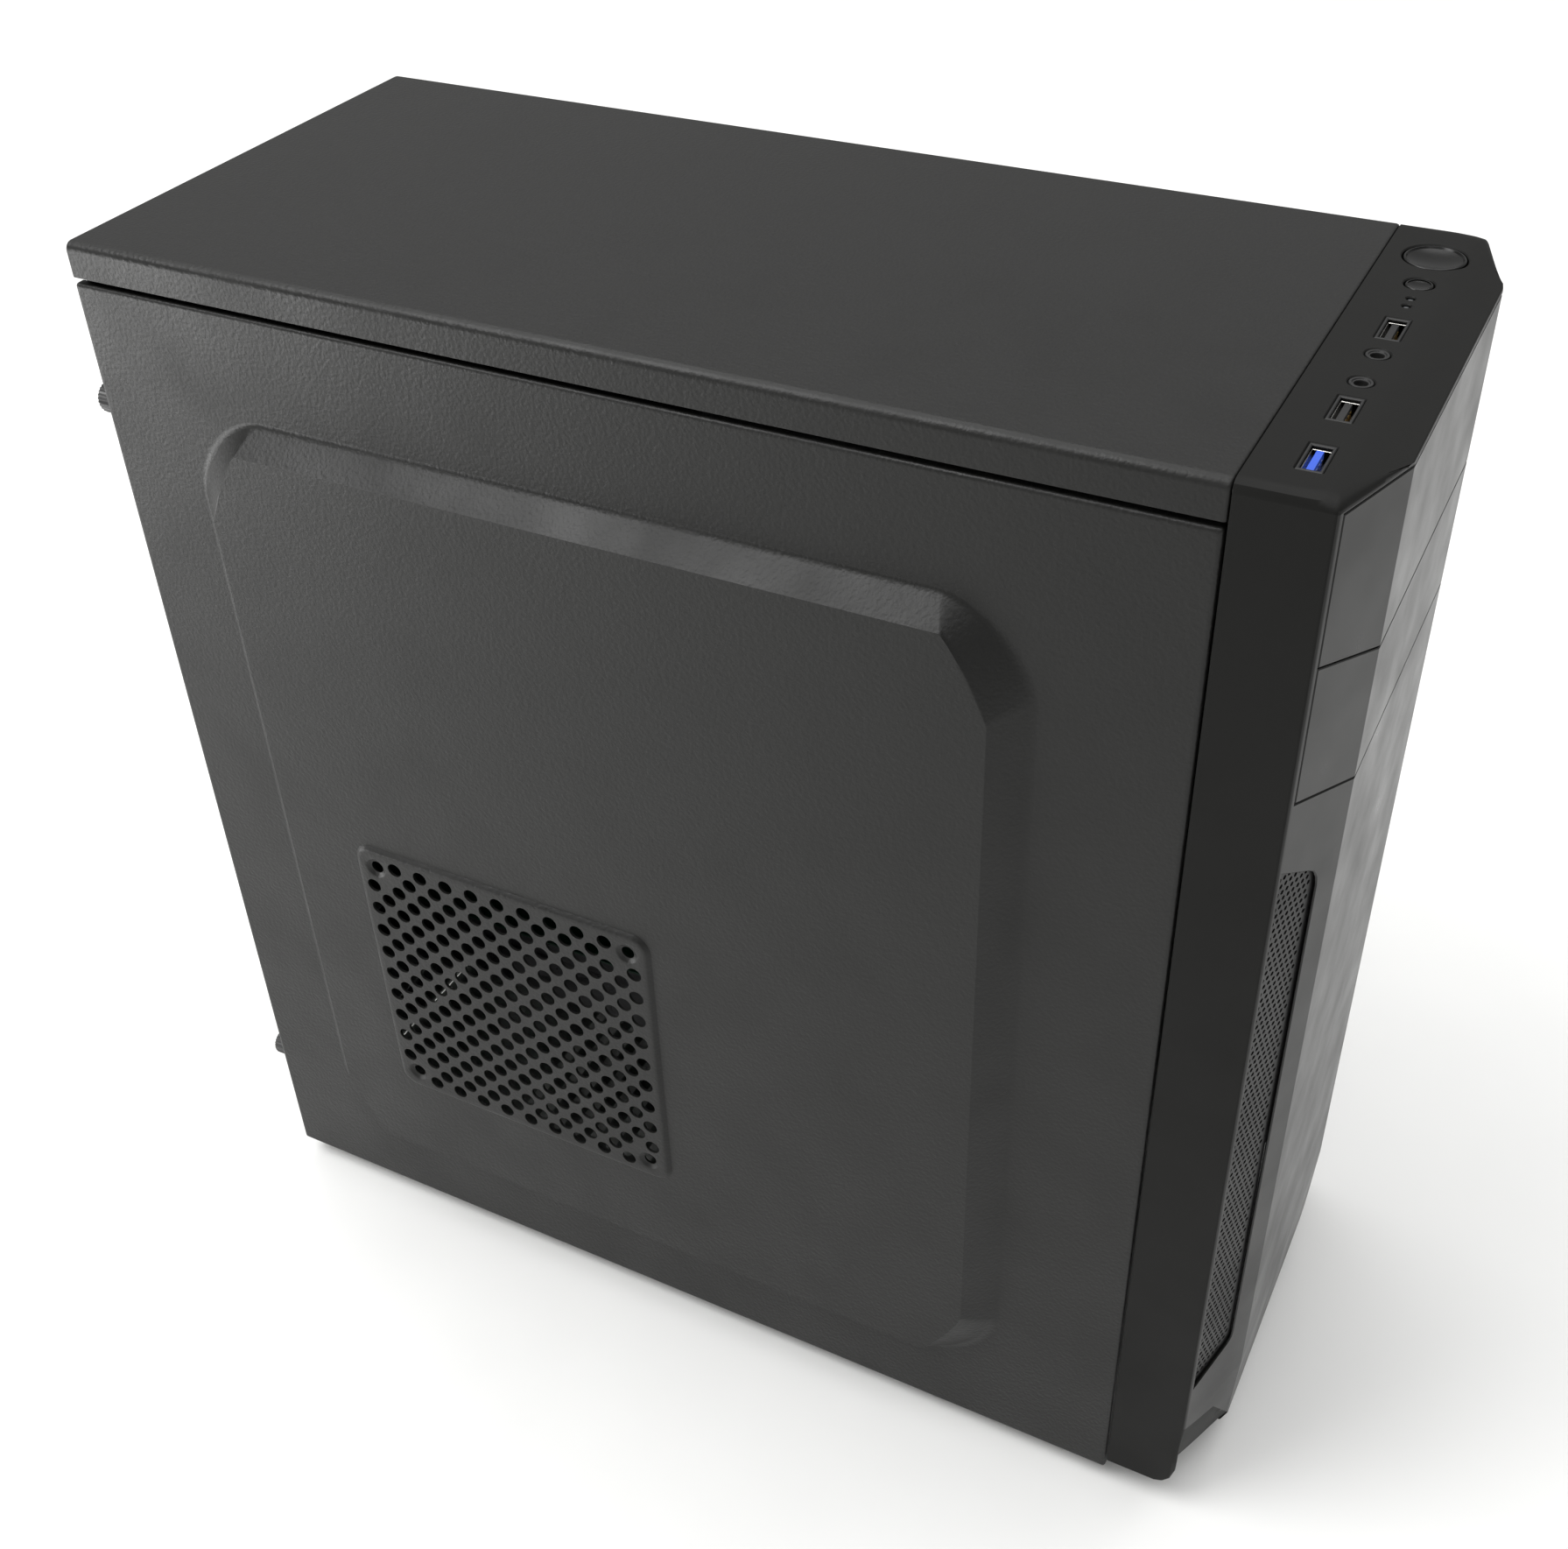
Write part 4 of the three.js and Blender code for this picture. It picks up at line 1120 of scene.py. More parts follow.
@dataclass(frozen=True)
class PlanLine:
    """The bezel's outer line seen from above, measured along its length."""

    corners: tuple[tuple[float, float, float], ...] = (
        (-87.5, -0.3, 0), (-87.5, -26, 1.4), (-55, -36.3, 1.6), (55, -36.3, 1.6), (87.5, -26, 1.4),
        (87.5, -0.3, 0),
    )
    facets: int = 5
    path: list[tuple[float, Vector, Vector]] = field(default_factory=list)

    def __post_init__(self) -> None:
        """Walk the line and note distance, point and outward direction at each bend."""
        walk: list[tuple[Vector, Vector]] = []
        spots = [Vector((x, y)) for x, y, _ in self.corners]
        headings = [(b - a).normalized() for a, b in zip(spots, spots[1:])]
        out = [Vector((d.y, -d.x)) for d in headings]
        walk.append((spots[0], out[0]))
        for i in range(1, len(spots) - 1):
            radius = self.corners[i][2]
            turn = headings[i - 1].angle(headings[i])
            start = spots[i] - headings[i - 1] * radius * math.tan(turn / 2)
            centre = start - out[i - 1] * radius
            for k in range(self.facets + 1):
                normal = out[i - 1].slerp(out[i], k / self.facets)
                walk.append((centre + normal * radius, normal))
        walk.append((spots[-1], out[-1]))
        distance = 0.0
        for i, (point, normal) in enumerate(walk):
            distance += (point - walk[i - 1][0]).length if i else 0.0
            self.path.append((distance, point, normal))

    @property
    def length(self) -> float:
        """Length of the whole line."""
        return self.path[-1][0]

    def at(self, s: float, depth: float = 0.0) -> tuple[Vector, Vector]:
        """Find a place on the line.

        Args:
            s: Distance along the line.
            depth: Distance outside it.

        Returns:
            The place and the outward direction there.
        """
        for (s0, p0, n0), (s1, p1, n1) in zip(self.path, self.path[1:]):
            if s <= s1 + 1e-6:
                break
        share = (s - s0) / max(s1 - s0, 1e-9)
        normal = n0.lerp(n1, share).normalized()
        return p0.lerp(p1, share) + normal * depth, normal

    def along(self, x: float) -> float:
        """Return the distance to where the line's front crosses a value of x.

        Args:
            x: The value, between the two cheeks' outer corners.
        """
        for (s0, p0, _), (s1, p1, _) in zip(self.path, self.path[1:]):
            if p0.x <= x <= p1.x and p1.x > p0.x:
                return s0 + (s1 - s0) * (x - p0.x) / (p1.x - p0.x)
        return 0.0

    def folded(self, form: Form) -> Form:
        """Fold a flat pattern (distance, height, depth) round the line.

        Args:
            form: The pattern.

        Returns:
            The form.
        """
        for s, _, _ in self.path[1:-1]:
            form.sliced((s, 0, 0), (1, 0, 0))

        def place(co: Vector) -> Vector:
            point, _ = self.at(co.x, co.z)
            return Vector((point.x, point.y, co.y))

        return form.bent(place)


PLAN = PlanLine()


@dataclass(frozen=True)
class Bezel:
    """The moulded front: side walls, slanted cheeks, flat face, chin and top strip."""

    wall: float = 1.3
    soft: float = 0.4
    strip: float = 408.7
    bottom: float = 5.0
    bay_x: float = 85.2
    bay_edges: tuple[float, float, float] = (408.0, 364.0, 321.0)
    dip: float = 9.0
    gap: float = 0.22
    fold_x: float = 55.0
    slope: float = 0.75
    slope_start: float = 22.0
    chin_top: float = 46.0
    facet_x: tuple[float, float, float] = (-86.6, -69.0, -57.0)
    facet_z: Flat = (41.0, 34.5)
    facet_run: float = 17.5
    mesh_x: Flat = (-85.55, -65.3)
    mesh_z: Flat = (64.0, 297.0)

    def mesh_outline(self, inset: float) -> list[Flat]:
        """Return the left mesh opening as distance and height.

        Args:
            inset: How far inside the opening's edge.
        """
        a, b = (PLAN.along(x) for x in self.mesh_x)
        a, b = a + inset, b - inset
        z0, z1 = self.mesh_z[0] + inset, self.mesh_z[1] - inset
        return [
            (a, z0), (b - 2.5, z0 + 6.5), (b - 0.6, z0 + 8), (b, z0 + 10.5), (b, z1 - 17.5),
            (b - 0.7, z1 - 14),
            (b - 2.6, z1 - 10.7), (b - 5.5, z1 - 8.7), (a, z1),
        ]

    def band(self, top: float, top_dip: float, low: float, low_dip: float, gap: float) -> list[Flat]:
        """Return the outline of a band across the front, as distance and height.

        Args:
            top: Height of its upper edge at the sides.
            top_dip: How far that edge dips to the middle.
            low: Height of its lower edge at the sides.
            low_dip: How far that edge dips.
            gap: Clearance all round.
        """
        xs = [-self.bay_x + gap, -self.fold_x, self.fold_x, self.bay_x - gap]
        s = [PLAN.along(x) for x in xs]
        return [
            (s[0], low + gap), (s[1], low - low_dip + gap), (s[2], low - low_dip + gap), (s[3], low + gap),
            (s[3], top - gap), (s[2], top - top_dip - gap), (s[1], top - top_dip - gap), (s[0], top - gap),
        ]

    def pattern(self) -> Form:
        """Cut the flat pattern of the bezel's wall, with its openings."""
        end = PLAN.length
        foot = [
            (0, self.bottom), (18, self.bottom), (21, 6.4), (23.3, 9.4), (24.6, 13.5), (25.3, 17.5),
            (PLAN.along(self.facet_x[0]), 21.5), (PLAN.along(-63), 11.6), (PLAN.along(-55), 7.8),
            (PLAN.along(-50), 7.2),
        ]
        top = self.strip + 1.2
        outline = [*foot, *((end - s, z) for s, z in reversed(foot)), (end, top), (0, top)]
        mesh = self.mesh_outline(0)
        bays = self.band(self.bay_edges[0], 0, self.bay_edges[2], self.dip, 0)
        twin = [(end - s, z) for s, z in mesh]
        form = Form.plate(outline, [mesh, twin, bays], self.wall, self.soft)
        self.facets(form)
        everything = [*form.bm.verts, *form.bm.edges, *form.bm.faces]
        bmesh.ops.bisect_plane(
            form.bm, geom=everything, dist=1e-4, plane_co=(0, self.strip, 0), plane_no=(0, 1, 0),
            clear_outer=True,
        )
        return form

    def facets(self, form: Form) -> None:
        """Pull the chin in, with a flat facet low on each cheek.

        Args:
            form: The flat pattern.
        """
        end = PLAN.length
        outer, fold, inner = (PLAN.along(x) for x in self.facet_x)
        high, low = self.facet_z
        drop, run, chin = high - low, self.facet_run, self.chin_top
        for k in range(12):
            form.sliced((0, chin - 3 * k, 0), (0, 1, 0))
        for mark in [outer - 3, outer - 1.5, outer, *(outer + 2.4 * k for k in range(1, 14))]:
            for spot in (mark, end - mark):
                form.sliced((spot, 0, 0), (1, 0, 0), lambda c: c.y < chin)
        for point, across in (((outer, high), (fold - outer, -drop)), ((fold, low), (inner - fold, -run))):
            for sign, start in ((1, point[0]), (-1, end - point[0])):
                form.sliced((start, point[1], 0), (-across[1], across[0] * sign, 0), lambda c: c.y < chin)

        def place(co: Vector) -> Vector:
            s = min(co.x, end - co.x)
            inward = min(max((s - outer) / (inner - outer), 0.0), 1.0)
            depth = co.z - 1.8 * inward * max(0.0, (chin - co.y) / 36)
            sunk = high - drop * (s - outer) / (fold - outer) - co.y
            left = (low - co.y) * (inner - fold) / run + fold - s
            if sunk > 0 and left > 0 and s > outer - 3:
                depth -= min(0.1 * sunk, 0.45 * left) * min((s - outer + 3) / 3, 1.0)
            return Vector((co.x, co.y, depth))

        form.bent(place)

    def inset_at(self, s: float) -> tuple[float, float]:
        """Return how far the top strip's edge lies inside the wall, across and along.

        Args:
            s: Distance along the bezel's line.
        """
        point, _ = PLAN.at(s)
        edge = min(s, PLAN.length - s)
        side, fold = PLAN.along(-86.5), PLAN.along(-55)
        if edge <= side:
            share = max(0.0, (edge - 14) / (side - 14))
            target = Vector((83.3 - 4.0 * share ** 2, point.y + 2.5 * share ** 2))
        else:
            share = min((edge - side) / (fold - side), 1.0)
            target = Vector((79.3 - 20.6 * share, -23.5 - 12.0 * share))
            if edge > fold:
                target = Vector((min(abs(point.x), 58.7), -35.5))
        flip = -1 if s < PLAN.length / 2 else 1
        return target.x * flip - point.x, target.y - point.y

    def top_strip(self, holes: Sequence[tuple[list[Flat], list[Flat]]]) -> Form:
        """Mould the top strip down to the wall's upper edge.

        Args:
            holes: Rim outline and hole outline of each opening, in x and y.

        Returns:
            The strip, as a sheet.
        """
        end = PLAN.length
        half = [0.0, self.soft, 14.0, 17.0, 20.0, 22.5, *(PLAN.path[k][0] for k in (1, 3, 6, 9))]
        marks = [round(m, 6) for m in (*half, *(end - m for m in reversed(half)))]
        section = ((0, 0), (0.04, 0.3), (0.2, 0.72), (0.5, 0.93), (0.85, 0.995), (1, 1))
        rows = []
        for across, up in section:
            row = []
            for s in marks:
                depth = -self.soft if s in (0.0, round(end, 6)) else 0.0
                point, _ = PLAN.at(s, depth if across == 0 else 0.0)
                dx, dy = self.inset_at(s)
                row.append(
                    (point.x + dx * across, point.y + dy * across, self.strip + (CASE_H - self.strip) * up)
                )
            rows.append(row)
        form = Form()
        chains = [form.chain(row) for row in rows[:-1]]
        rim = form.chain(rows[-1], closed=True)
        form.bridge([*chains, rim[:-1]])
        edges = list(rim)
        for wide, tight in holes:
            rings = [
                form.chain([(u, v, z) for u, v in outline], True)
                for outline, z in ((wide, CASE_H), (tight, CASE_H - 0.35), (tight, CASE_H - 2.6))
            ]
            form.bridge(rings)
            edges += rings[0]
        form.fill(edges)
        return form

    def sloped(self, form: Form) -> Form:
        """Let the top strip fall gently towards its front edge.

        Args:
            form: The strip.

        Returns:
            The form.
        """
        for k in range(5):
            form.sliced((0, -self.slope_start - 2.5 * k, 0), (0, 1, 0))

        def place(co: Vector) -> Vector:
            share = min(max((-co.y - self.slope_start) / 13, 0.0), 1.0)
            return Vector((co.x, co.y, self.strip + (co.z - self.strip) * (1 - self.slope * share ** 1.2)))

        return form.bent(place)

    def dressed_skin(self, form: Form) -> Form:
        """Give the cheeks and the face the satin finish and leave the rest matt, whose darker colour is
        partly painted shade on the side walls and the low facets.

        Args:
            form: The folded skin.

        Returns:
            The form.
        """
        for face in form.bm.faces:
            centre = face.calc_center_median()
            front = centre.y < -25.6 and centre.z < self.strip + 0.6 and abs(face.normal.z) < 0.6
            x = abs(centre.x)
            facet = (
                centre.z < self.facet_z[0] - 0.37 * (-self.facet_x[0] - x)
                and x > -self.facet_x[2] + 0.686 * (centre.z - 17)
            )
            # Faces left at index 0, the side walls and low facets among them, take the darker matt skin,
            # partly painted shade.
            face.material_index = 1 if front and not facet else 0
        return form

    def bay_frame(self) -> Form:
        """Cut the ledges behind the edges of the bay covers."""
        top, middle, low = self.bay_edges
        outline = self.band(top - 0.9, 0, low, self.dip, -1.2)
        holes = [self.band(top, 0, middle, self.dip, 1.5), self.band(middle, self.dip, low, self.dip, 1.5)]
        return Form.plate(outline, holes, 1.0, 0.1).shifted(0, 0, -2.75)

    def build_shell(self, holes: Sequence[tuple[list[Flat], list[Flat]]]) -> None:
        """Make the bezel's shell.

        Args:
            holes: Openings of the top strip, as for top_strip.
        """
        inside = (0, 40, 200)
        strip = self.top_strip(holes).outward_from(inside).thicken(self.wall)
        form = PLAN.folded(self.pattern()).add(self.sloped(strip), PLAN.folded(self.bay_frame()))
        Piece("front_bezel", crease=35).make(self.dressed_skin(form))

    def build_covers(self) -> None:
        """Make the two bay covers."""
        spans = (("bay_cover_upper", 0, 0.0), ("bay_cover_lower", 1, self.dip))
        for node, i, top_dip in spans:
            outline = self.band(self.bay_edges[i], top_dip, self.bay_edges[i + 1], self.dip, self.gap)
            Piece(node, crease=35).make(PLAN.folded(Form.plate(outline, [], 2.2, 0.3)))

    def build_meshes(self) -> None:
        """Make the fine mesh strips in the two cheeks."""
        outline = self.mesh_outline(-0.9)
        inner = self.mesh_outline(1.7)
        (a, b), (z0, z1) = (inner[0][0], inner[3][0]), self.mesh_z

        def keep(u: float, v: float) -> bool:
            share = (u - a) / (b - a)
            return z0 + 1.8 + 7 * share < v < z1 - 1.8 - 10.5 * share ** 1.5 and u < b

        for side in Side:
            holes = honeycomb(a + 0.3, b, z0 + 1.8, z1 - 2, (2.4, 2.7), 0.86, keep)
            form = Form.plate(outline, holes, 0.6, 0).shifted(0, 0, -self.wall - 0.05)
            if side is Side.RIGHT:
                form.moved(Matrix.Translation((PLAN.length, 0, 0)) @ Matrix.Scale(-1, 4, (1, 0, 0)))
            Piece(f"bezel_mesh_{side.name.lower()}", finishes=(MESH_FINISH,)).make(PLAN.folded(form))


@dataclass(frozen=True)
class TopControls:
    """The buttons, lights and sockets of the bezel's top strip, set behind one another."""

    strip_y: float = -15.0
    power: Flat = (64.0, 9.0)
    reset: Flat = (43.4, 4.0)
    lights: tuple[float, float] = (32.7, 27.4)
    light_radius: float = 1.15
    usb: Flat = (14.4, 6.9)
    mouth: Flat = (12.5, 5.1)
    jack_radius: float = 3.4

    def middle(self, node: str) -> Vector:
        """Return the middle of a packed control.

        Args:
            node: The control's name.
        """
        low, high = case_box(node)
        return (low + high) / 2

    def round_hole(self, x: float, radius: float, steps: int = 36) -> tuple[list[Flat], list[Flat]]:
        """Return rim and hole of a round opening.

        Args:
            x: Place along the strip.
            radius: Radius of the hole.
            steps: Facets round it.
        """
        return circle(x, self.strip_y, radius + 0.35, steps), circle(x, self.strip_y, radius, steps)

    def holes(self) -> list[tuple[list[Flat], list[Flat]]]:
        """Return rim and hole outlines of every opening in the strip."""
        found = [
            self.round_hole(self.power[0], self.power[1] + 0.45, 48),
            self.round_hole(self.reset[0], self.reset[1] + 0.4),
        ]
        found += [self.round_hole(x, self.light_radius + 0.15, 16) for x in self.lights]
        for node in ("audio_jack_left", "audio_jack_right"):
            found.append(self.round_hole(self.middle(node).x, self.jack_radius + 0.12, 28))
        w, d = self.usb[0] / 2 + 0.12, self.usb[1] / 2 + 0.12
        for node in ("usb_port_left", "usb_port_right", "usb3_port"):
            x, y = self.middle(node).x, self.strip_y
            rim = soft_rectangle(x - w - 0.3, x + w + 0.3, y - d - 0.3, y + d + 0.3, 0.8, steps=3)
            found.append((rim, soft_rectangle(x - w, x + w, y - d, y + d, 0.5, steps=3)))
        return found

    def build_buttons(self) -> None:
        """Make the two dished push buttons and the two light lenses."""
        for node, (x, r) in (("power_button", self.power), ("reset_button", self.reset)):
            low, high = case_box(node)
            top, flange = high.z, (high.x - low.x) / 2
            dish = 0.17 * r
            curve = [(r * k / 8, top - dish + dish * (k / 8) ** 2.2 * 0.82) for k in range(0, 8)]
            profile = [
                (0, low.z), (flange, low.z), (flange, top - 3.1), (r, top - 3.1), (r, top - 0.75),
                (r - 0.12, top - 0.3), (r - 0.4, top - 0.06), (r - 0.75, top - 0.05), *reversed(curve),
            ]
            Piece(node).make(Form.lathe(profile, 56).shifted(x, self.strip_y, 0))
        for node, x in zip(("power_led", "drive_led"), self.lights):
            low, high = case_box(node)
            r, top = self.light_radius, high.z
            profile = [
                (0, low.z), (r, low.z), (r, top - 0.7), (r - 0.15, top - 0.35), (r - 0.5, top - 0.1),
                (0, top),
            ]
            Piece(node).make(Form.lathe(profile, 20).shifted(x, self.strip_y, 0))

    def build_usb(self, node: str, body: int, tongue: int, contacts: int) -> None:
        """Make one USB socket.

        Args:
            node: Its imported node.
            body: Finish of the body.
            tongue: Finish of the tongue.
            contacts: Finish of the contacts.
        """
        low, high = case_box(node)
        x, y, top = self.middle(node).x, self.strip_y, high.z
        w, d = self.usb[0] / 2, self.usb[1] / 2
        m, n = self.mouth[0] / 2, self.mouth[1] / 2
        deep = high.z - low.z
        tube = Form.plate(
            rectangle(x - w, x + w, y - d, y + d), [rectangle(x - m, x + m, y - n, y + n)], deep - 1, 0.25,
        )
        liner = Form.plate(
            rectangle(x - m, x + m, y - n, y + n),
            [rectangle(x - m + 0.3, x + m - 0.3, y - n + 0.3, y + n - 0.3)], deep - 2.5, 0.08,
        )
        base = Form.block((x - w, y - d, low.z), (x + w, y + d, low.z + 1.2))
        blade = Form.block((x - 5.6, y - 0.75, low.z + 1), (x + 5.6, y + 1.2, top - 0.9), 0.2)
        pins = [
            Form.block((x + k - 0.6, y - 0.9, low.z + 3), (x + k + 0.6, y - 0.7, top - 2.4)).dressed(contacts)
            for k in (-3.6, -1.2, 1.2, 3.6)
        ]
        form = tube.shifted(0, 0, top).dressed(body).add(
            liner.shifted(0, 0, top - 1.1).dressed(1), base.dressed(body), blade.dressed(tongue), *pins,
        )
        Piece(node).make(form)

    def build_jack(self, node: str) -> None:
        """Make one audio jack.

        Args:
            node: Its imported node.
        """
        low, high = case_box(node)
        r, top = self.jack_radius, high.z
        profile = [
            (1.75, low.z), (r, low.z), (r, top - 0.4), (r - 0.3, top), (2.5, top), (2.3, top - 0.3),
            (1.95, top - 0.35), (1.75, top - 0.7), (1.75, low.z),
        ]
        form = Form.lathe(profile, 28).add(Form.rod((0, 0, low.z), (0, 0, low.z + 1.5), 2.2))
        spring = Form.lathe(
            [(1.45, low.z + 2), (1.7, low.z + 2), (1.7, top - 2), (1.45, top - 2), (1.45, low.z + 2)], 20,
        ).dressed(1)
        Piece(node).make(form.add(spring).shifted(self.middle(node).x, self.strip_y, 0))

    def build_board(self) -> None:
        """Make the small board that carries the controls."""
        low, high = case_box("front_io_board")
        y = (low.y + high.y) / 2
        card = Form.plate(
            soft_rectangle(low.x, high.x, low.y, high.y, 1.5),
            [circle(low.x + 4, y, 1.6), circle(high.x - 4, y, 1.6)], 1.6, 0.1,
        )
        Piece("front_io_board").make(card.shifted(0, 0, high.z))

    def build(self) -> None:
        """Make all the controls."""
        self.build_buttons()
        self.build_usb("usb_port_left", 0, 0, 2)
        self.build_usb("usb_port_right", 0, 0, 2)
        self.build_usb("usb3_port", 2, 0, 1)
        self.build_jack("audio_jack_left")
        self.build_jack("audio_jack_right")
        self.build_board()


# ---- chassis ------------------------------------------------------------------------------


YZ = Matrix(((0, 0, 1, 0), (1, 0, 0, 0), (0, 1, 0, 0), (0, 0, 0, 1)))
SLOT_PITCH = 20.32
SLOT_HEIGHTS = tuple(136.0 - SLOT_PITCH * i for i in range(7))
SCREW_HEIGHTS = (47.0, 353.0)
PROCESSOR = (290.0, 235.0)
REAR_FAN = (-34.0, 240.0)
FRONT_FAN = (0.0, 120.0)
GRAPHICS_FAN = (2.0, 268.0)
SUPPLY_FAN = (0.0, 298.0)
LARGE_FAN_SCREWS = 52.5
"""Half the side of the square of screws of a 120 mm fan."""


def sideways(form: Form, x: float, side: Side = Side.LEFT) -> Form:
    """Stand a plate in the YZ plane.

    Args:
        form: The plate, drawn in y and z.
        x: Where its upper face lies.
        side: Where that face looks.

    Returns:
        The form.
    """
    return form.moved(Matrix.Translation((x, 0, 0)) @ Matrix.Scale(side.value, 4, (1, 0, 0)) @ YZ)


def behind(outline: Sequence[Flat]) -> list[Flat]:
    """Return an outline given in x and z as seen from behind, for a plate that looks back."""
    return [(-u, v) for u, v in outline]


def square_of(u: float, v: float, reach: float, radius: float, steps: int = 12) -> list[list[Flat]]:
    """Return four holes at the corners of a square.

    Args:
        u: First coordinate of its middle.
        v: Second coordinate of its middle.
        reach: Half its side.
        radius: Radius of each hole.
        steps: Corners of each hole.
    """
    return [circle(u + a * reach, v + b * reach, radius, steps) for a in (-1, 1) for b in (-1, 1)]


def grille(u: float, v: float, reach: float, radius: float = 2.35, pitch: float = 5.6) -> list[list[Flat]]:
    """Return a round field of staggered holes.

    Args:
        u: First coordinate of its middle.
        v: Second coordinate of its middle.
        reach: Radius of the field.
        radius: Radius of each hole.
        pitch: Distance between holes.
    """
    count = math.ceil(reach / pitch)
    low = (u - count * pitch, v - 2 * count * pitch * 0.433)
    return honeycomb(
        low[0], u + count * pitch, low[1], v + reach, (pitch, pitch * 0.866), radius,
        lambda a, b: math.hypot(a - u, b - v) < reach - radius,
    )


@dataclass(frozen=True)
class Chassis:
    """The zinc-coated steel inside the skins."""

    half: float = 83.5
    front: float = 2.2
    rear: float = 368.9
    sheet: float = 1.0
    gap: float = 0.3
    fold: float = 12.0
    panel_top: float = 398.6
    top: float = 410.7
    cage: float = 150.0
    bay_half: float = 74.4
    bay_floor: float = 317.0
    drive_half: float = 52.5
    drive_z: Flat = (206.0, 316.7)
    tray_x: float = 68.0
    tray_z: Flat = (1.3, 311.0)
    psu_window: tuple[float, float, float, float] = (-70, 70, 317.3, 393.3)
    port_window: tuple[float, float, float, float] = (19, 63, 147, 305.75)

    def walls(self, y0: float, y1: float, z0: float, z1: float) -> Form:
        """Fold a wall along each side.

        Args:
            y0: Front end.
            y1: Rear end.
            z0: Lower end.
            z1: Upper end.
        """
        made = []
        for side in Side:
            holes = [circle((y0 + y1) / 2, z, 1.6, 10) for z in range(40, 390, 58) if z0 < z < z1]
            outline = soft_rectangle(y0, y1, z0, z1, 1.5, steps=2)
            made.append(sideways(Form.plate(outline, holes, self.sheet, 0.15), side.value * self.half, side))
        return gather(made)

    def bottom(self) -> Form:
        """Make the bottom pan."""
        y0, y1 = self.front + self.sheet + self.gap, self.rear - self.gap
        holes = [circle(x, y, 2.2, 12) for x in (-58, 58) for y in (38, 330)]
        holes += [soft_rectangle(-36, 36, y, y + 4, 2, steps=2) for y in range(190, 290, 9)]
        plate = Form.plate(soft_rectangle(-self.half, self.half, y0, y1, 1), holes, self.sheet, 0.15)
        return plate.shifted(0, 0, self.sheet).add(self.walls(y0, y1, 0, self.fold))

    def back(self) -> Form:
        """Make the rear panel with its windows, slots and fan grille."""
        holes = [rectangle(*self.psu_window), rectangle(*self.port_window)]
        holes += [soft_rectangle(-52, 53, z - 6.35, z + 6.35, 0.8, steps=2) for z in SLOT_HEIGHTS]
        holes += [circle(x, z, 2.2, 16) for x in (-77, 77) for z in SCREW_HEIGHTS]
        holes += [*grille(*REAR_FAN, 44), *square_of(*REAR_FAN, 41.2, 2.2)]
        holes += [circle(60.5, z, 1.7, 10) for z in SLOT_HEIGHTS]
        outline = soft_rectangle(-self.half, self.half, 0, self.top, 1.5, steps=2)
        plate = Form.plate(behind(outline), [behind(hole) for hole in holes], self.sheet, 0.12)
        folds = self.walls(self.rear - self.fold, self.rear + 0.5, self.fold + self.gap, self.panel_top)
        return standing(plate, self.rear + self.sheet, back=True).add(folds)

    def face(self) -> Form:
        """Make the front frame with its open bays and fan grille."""
        b, f = self.bay_half - 1, self.bay_floor + 1.5
        outline = [
            (-self.half, 0), (self.half, 0), (self.half, self.panel_top), (b, self.panel_top),
            (b, f), (-b, f), (-b, self.panel_top), (-self.half, self.panel_top),
        ]
        holes = [*grille(*FRONT_FAN, 56, 3.3, 7.6), *square_of(*FRONT_FAN, LARGE_FAN_SCREWS, 2.3)]
        holes += [
            soft_rectangle(x - 4, x + 4, z, z + 14, 2, steps=2) for x in (-74, 74)
            for z in (30, 110, 190, 270)
        ]
        holes += [soft_rectangle(-34, 34, 20, 30, 3, steps=2), soft_rectangle(-46, 46, 215, 236, 3, steps=2)]
        plate = standing(Form.plate(outline, holes, self.sheet, 0.12), self.front)
        return plate.add(
            self.walls(self.front + 0.5, self.front + self.fold, self.fold + self.gap, self.panel_top)
        )

    def rail(self) -> Form:
        """Make the cross rail above the bays."""
        outline = soft_rectangle(-self.half, self.half, self.panel_top + self.gap, self.top, 1, steps=2)
        holes = [soft_rectangle(x - 9, x + 9, 403, 407, 2, steps=2) for x in (-60, -20, 20, 60)]
        return standing(Form.plate(outline, holes, self.sheet, 0.12), self.front)

    def tray(self) -> Form:
        """Make the board tray with the window behind the processor and its front fold."""
        y0, y1 = self.cage + 6, self.rear - self.gap
        outline = soft_rectangle(y0, y1, *self.tray_z, 1, steps=2)
        holes = [
            soft_rectangle(255, 325, 200, 270, 8), soft_rectangle(170, 196, 282, 300, 5),
            soft_rectangle(163, 176, 60, 110, 5),
        ]
        holes += [soft_rectangle(200, 240, z, z + 6, 3, steps=3) for z in (20, 38, 54)]
        plate = sideways(Form.plate(outline, holes, self.sheet, 0.12), self.tray_x)
        fold = Form.plate(
            soft_rectangle(self.tray_x, self.half - self.sheet - self.gap, *self.tray_z, 0.5, steps=2), [],
            self.sheet, 0.12,
        )
        return plate.add(standing(fold, y0))

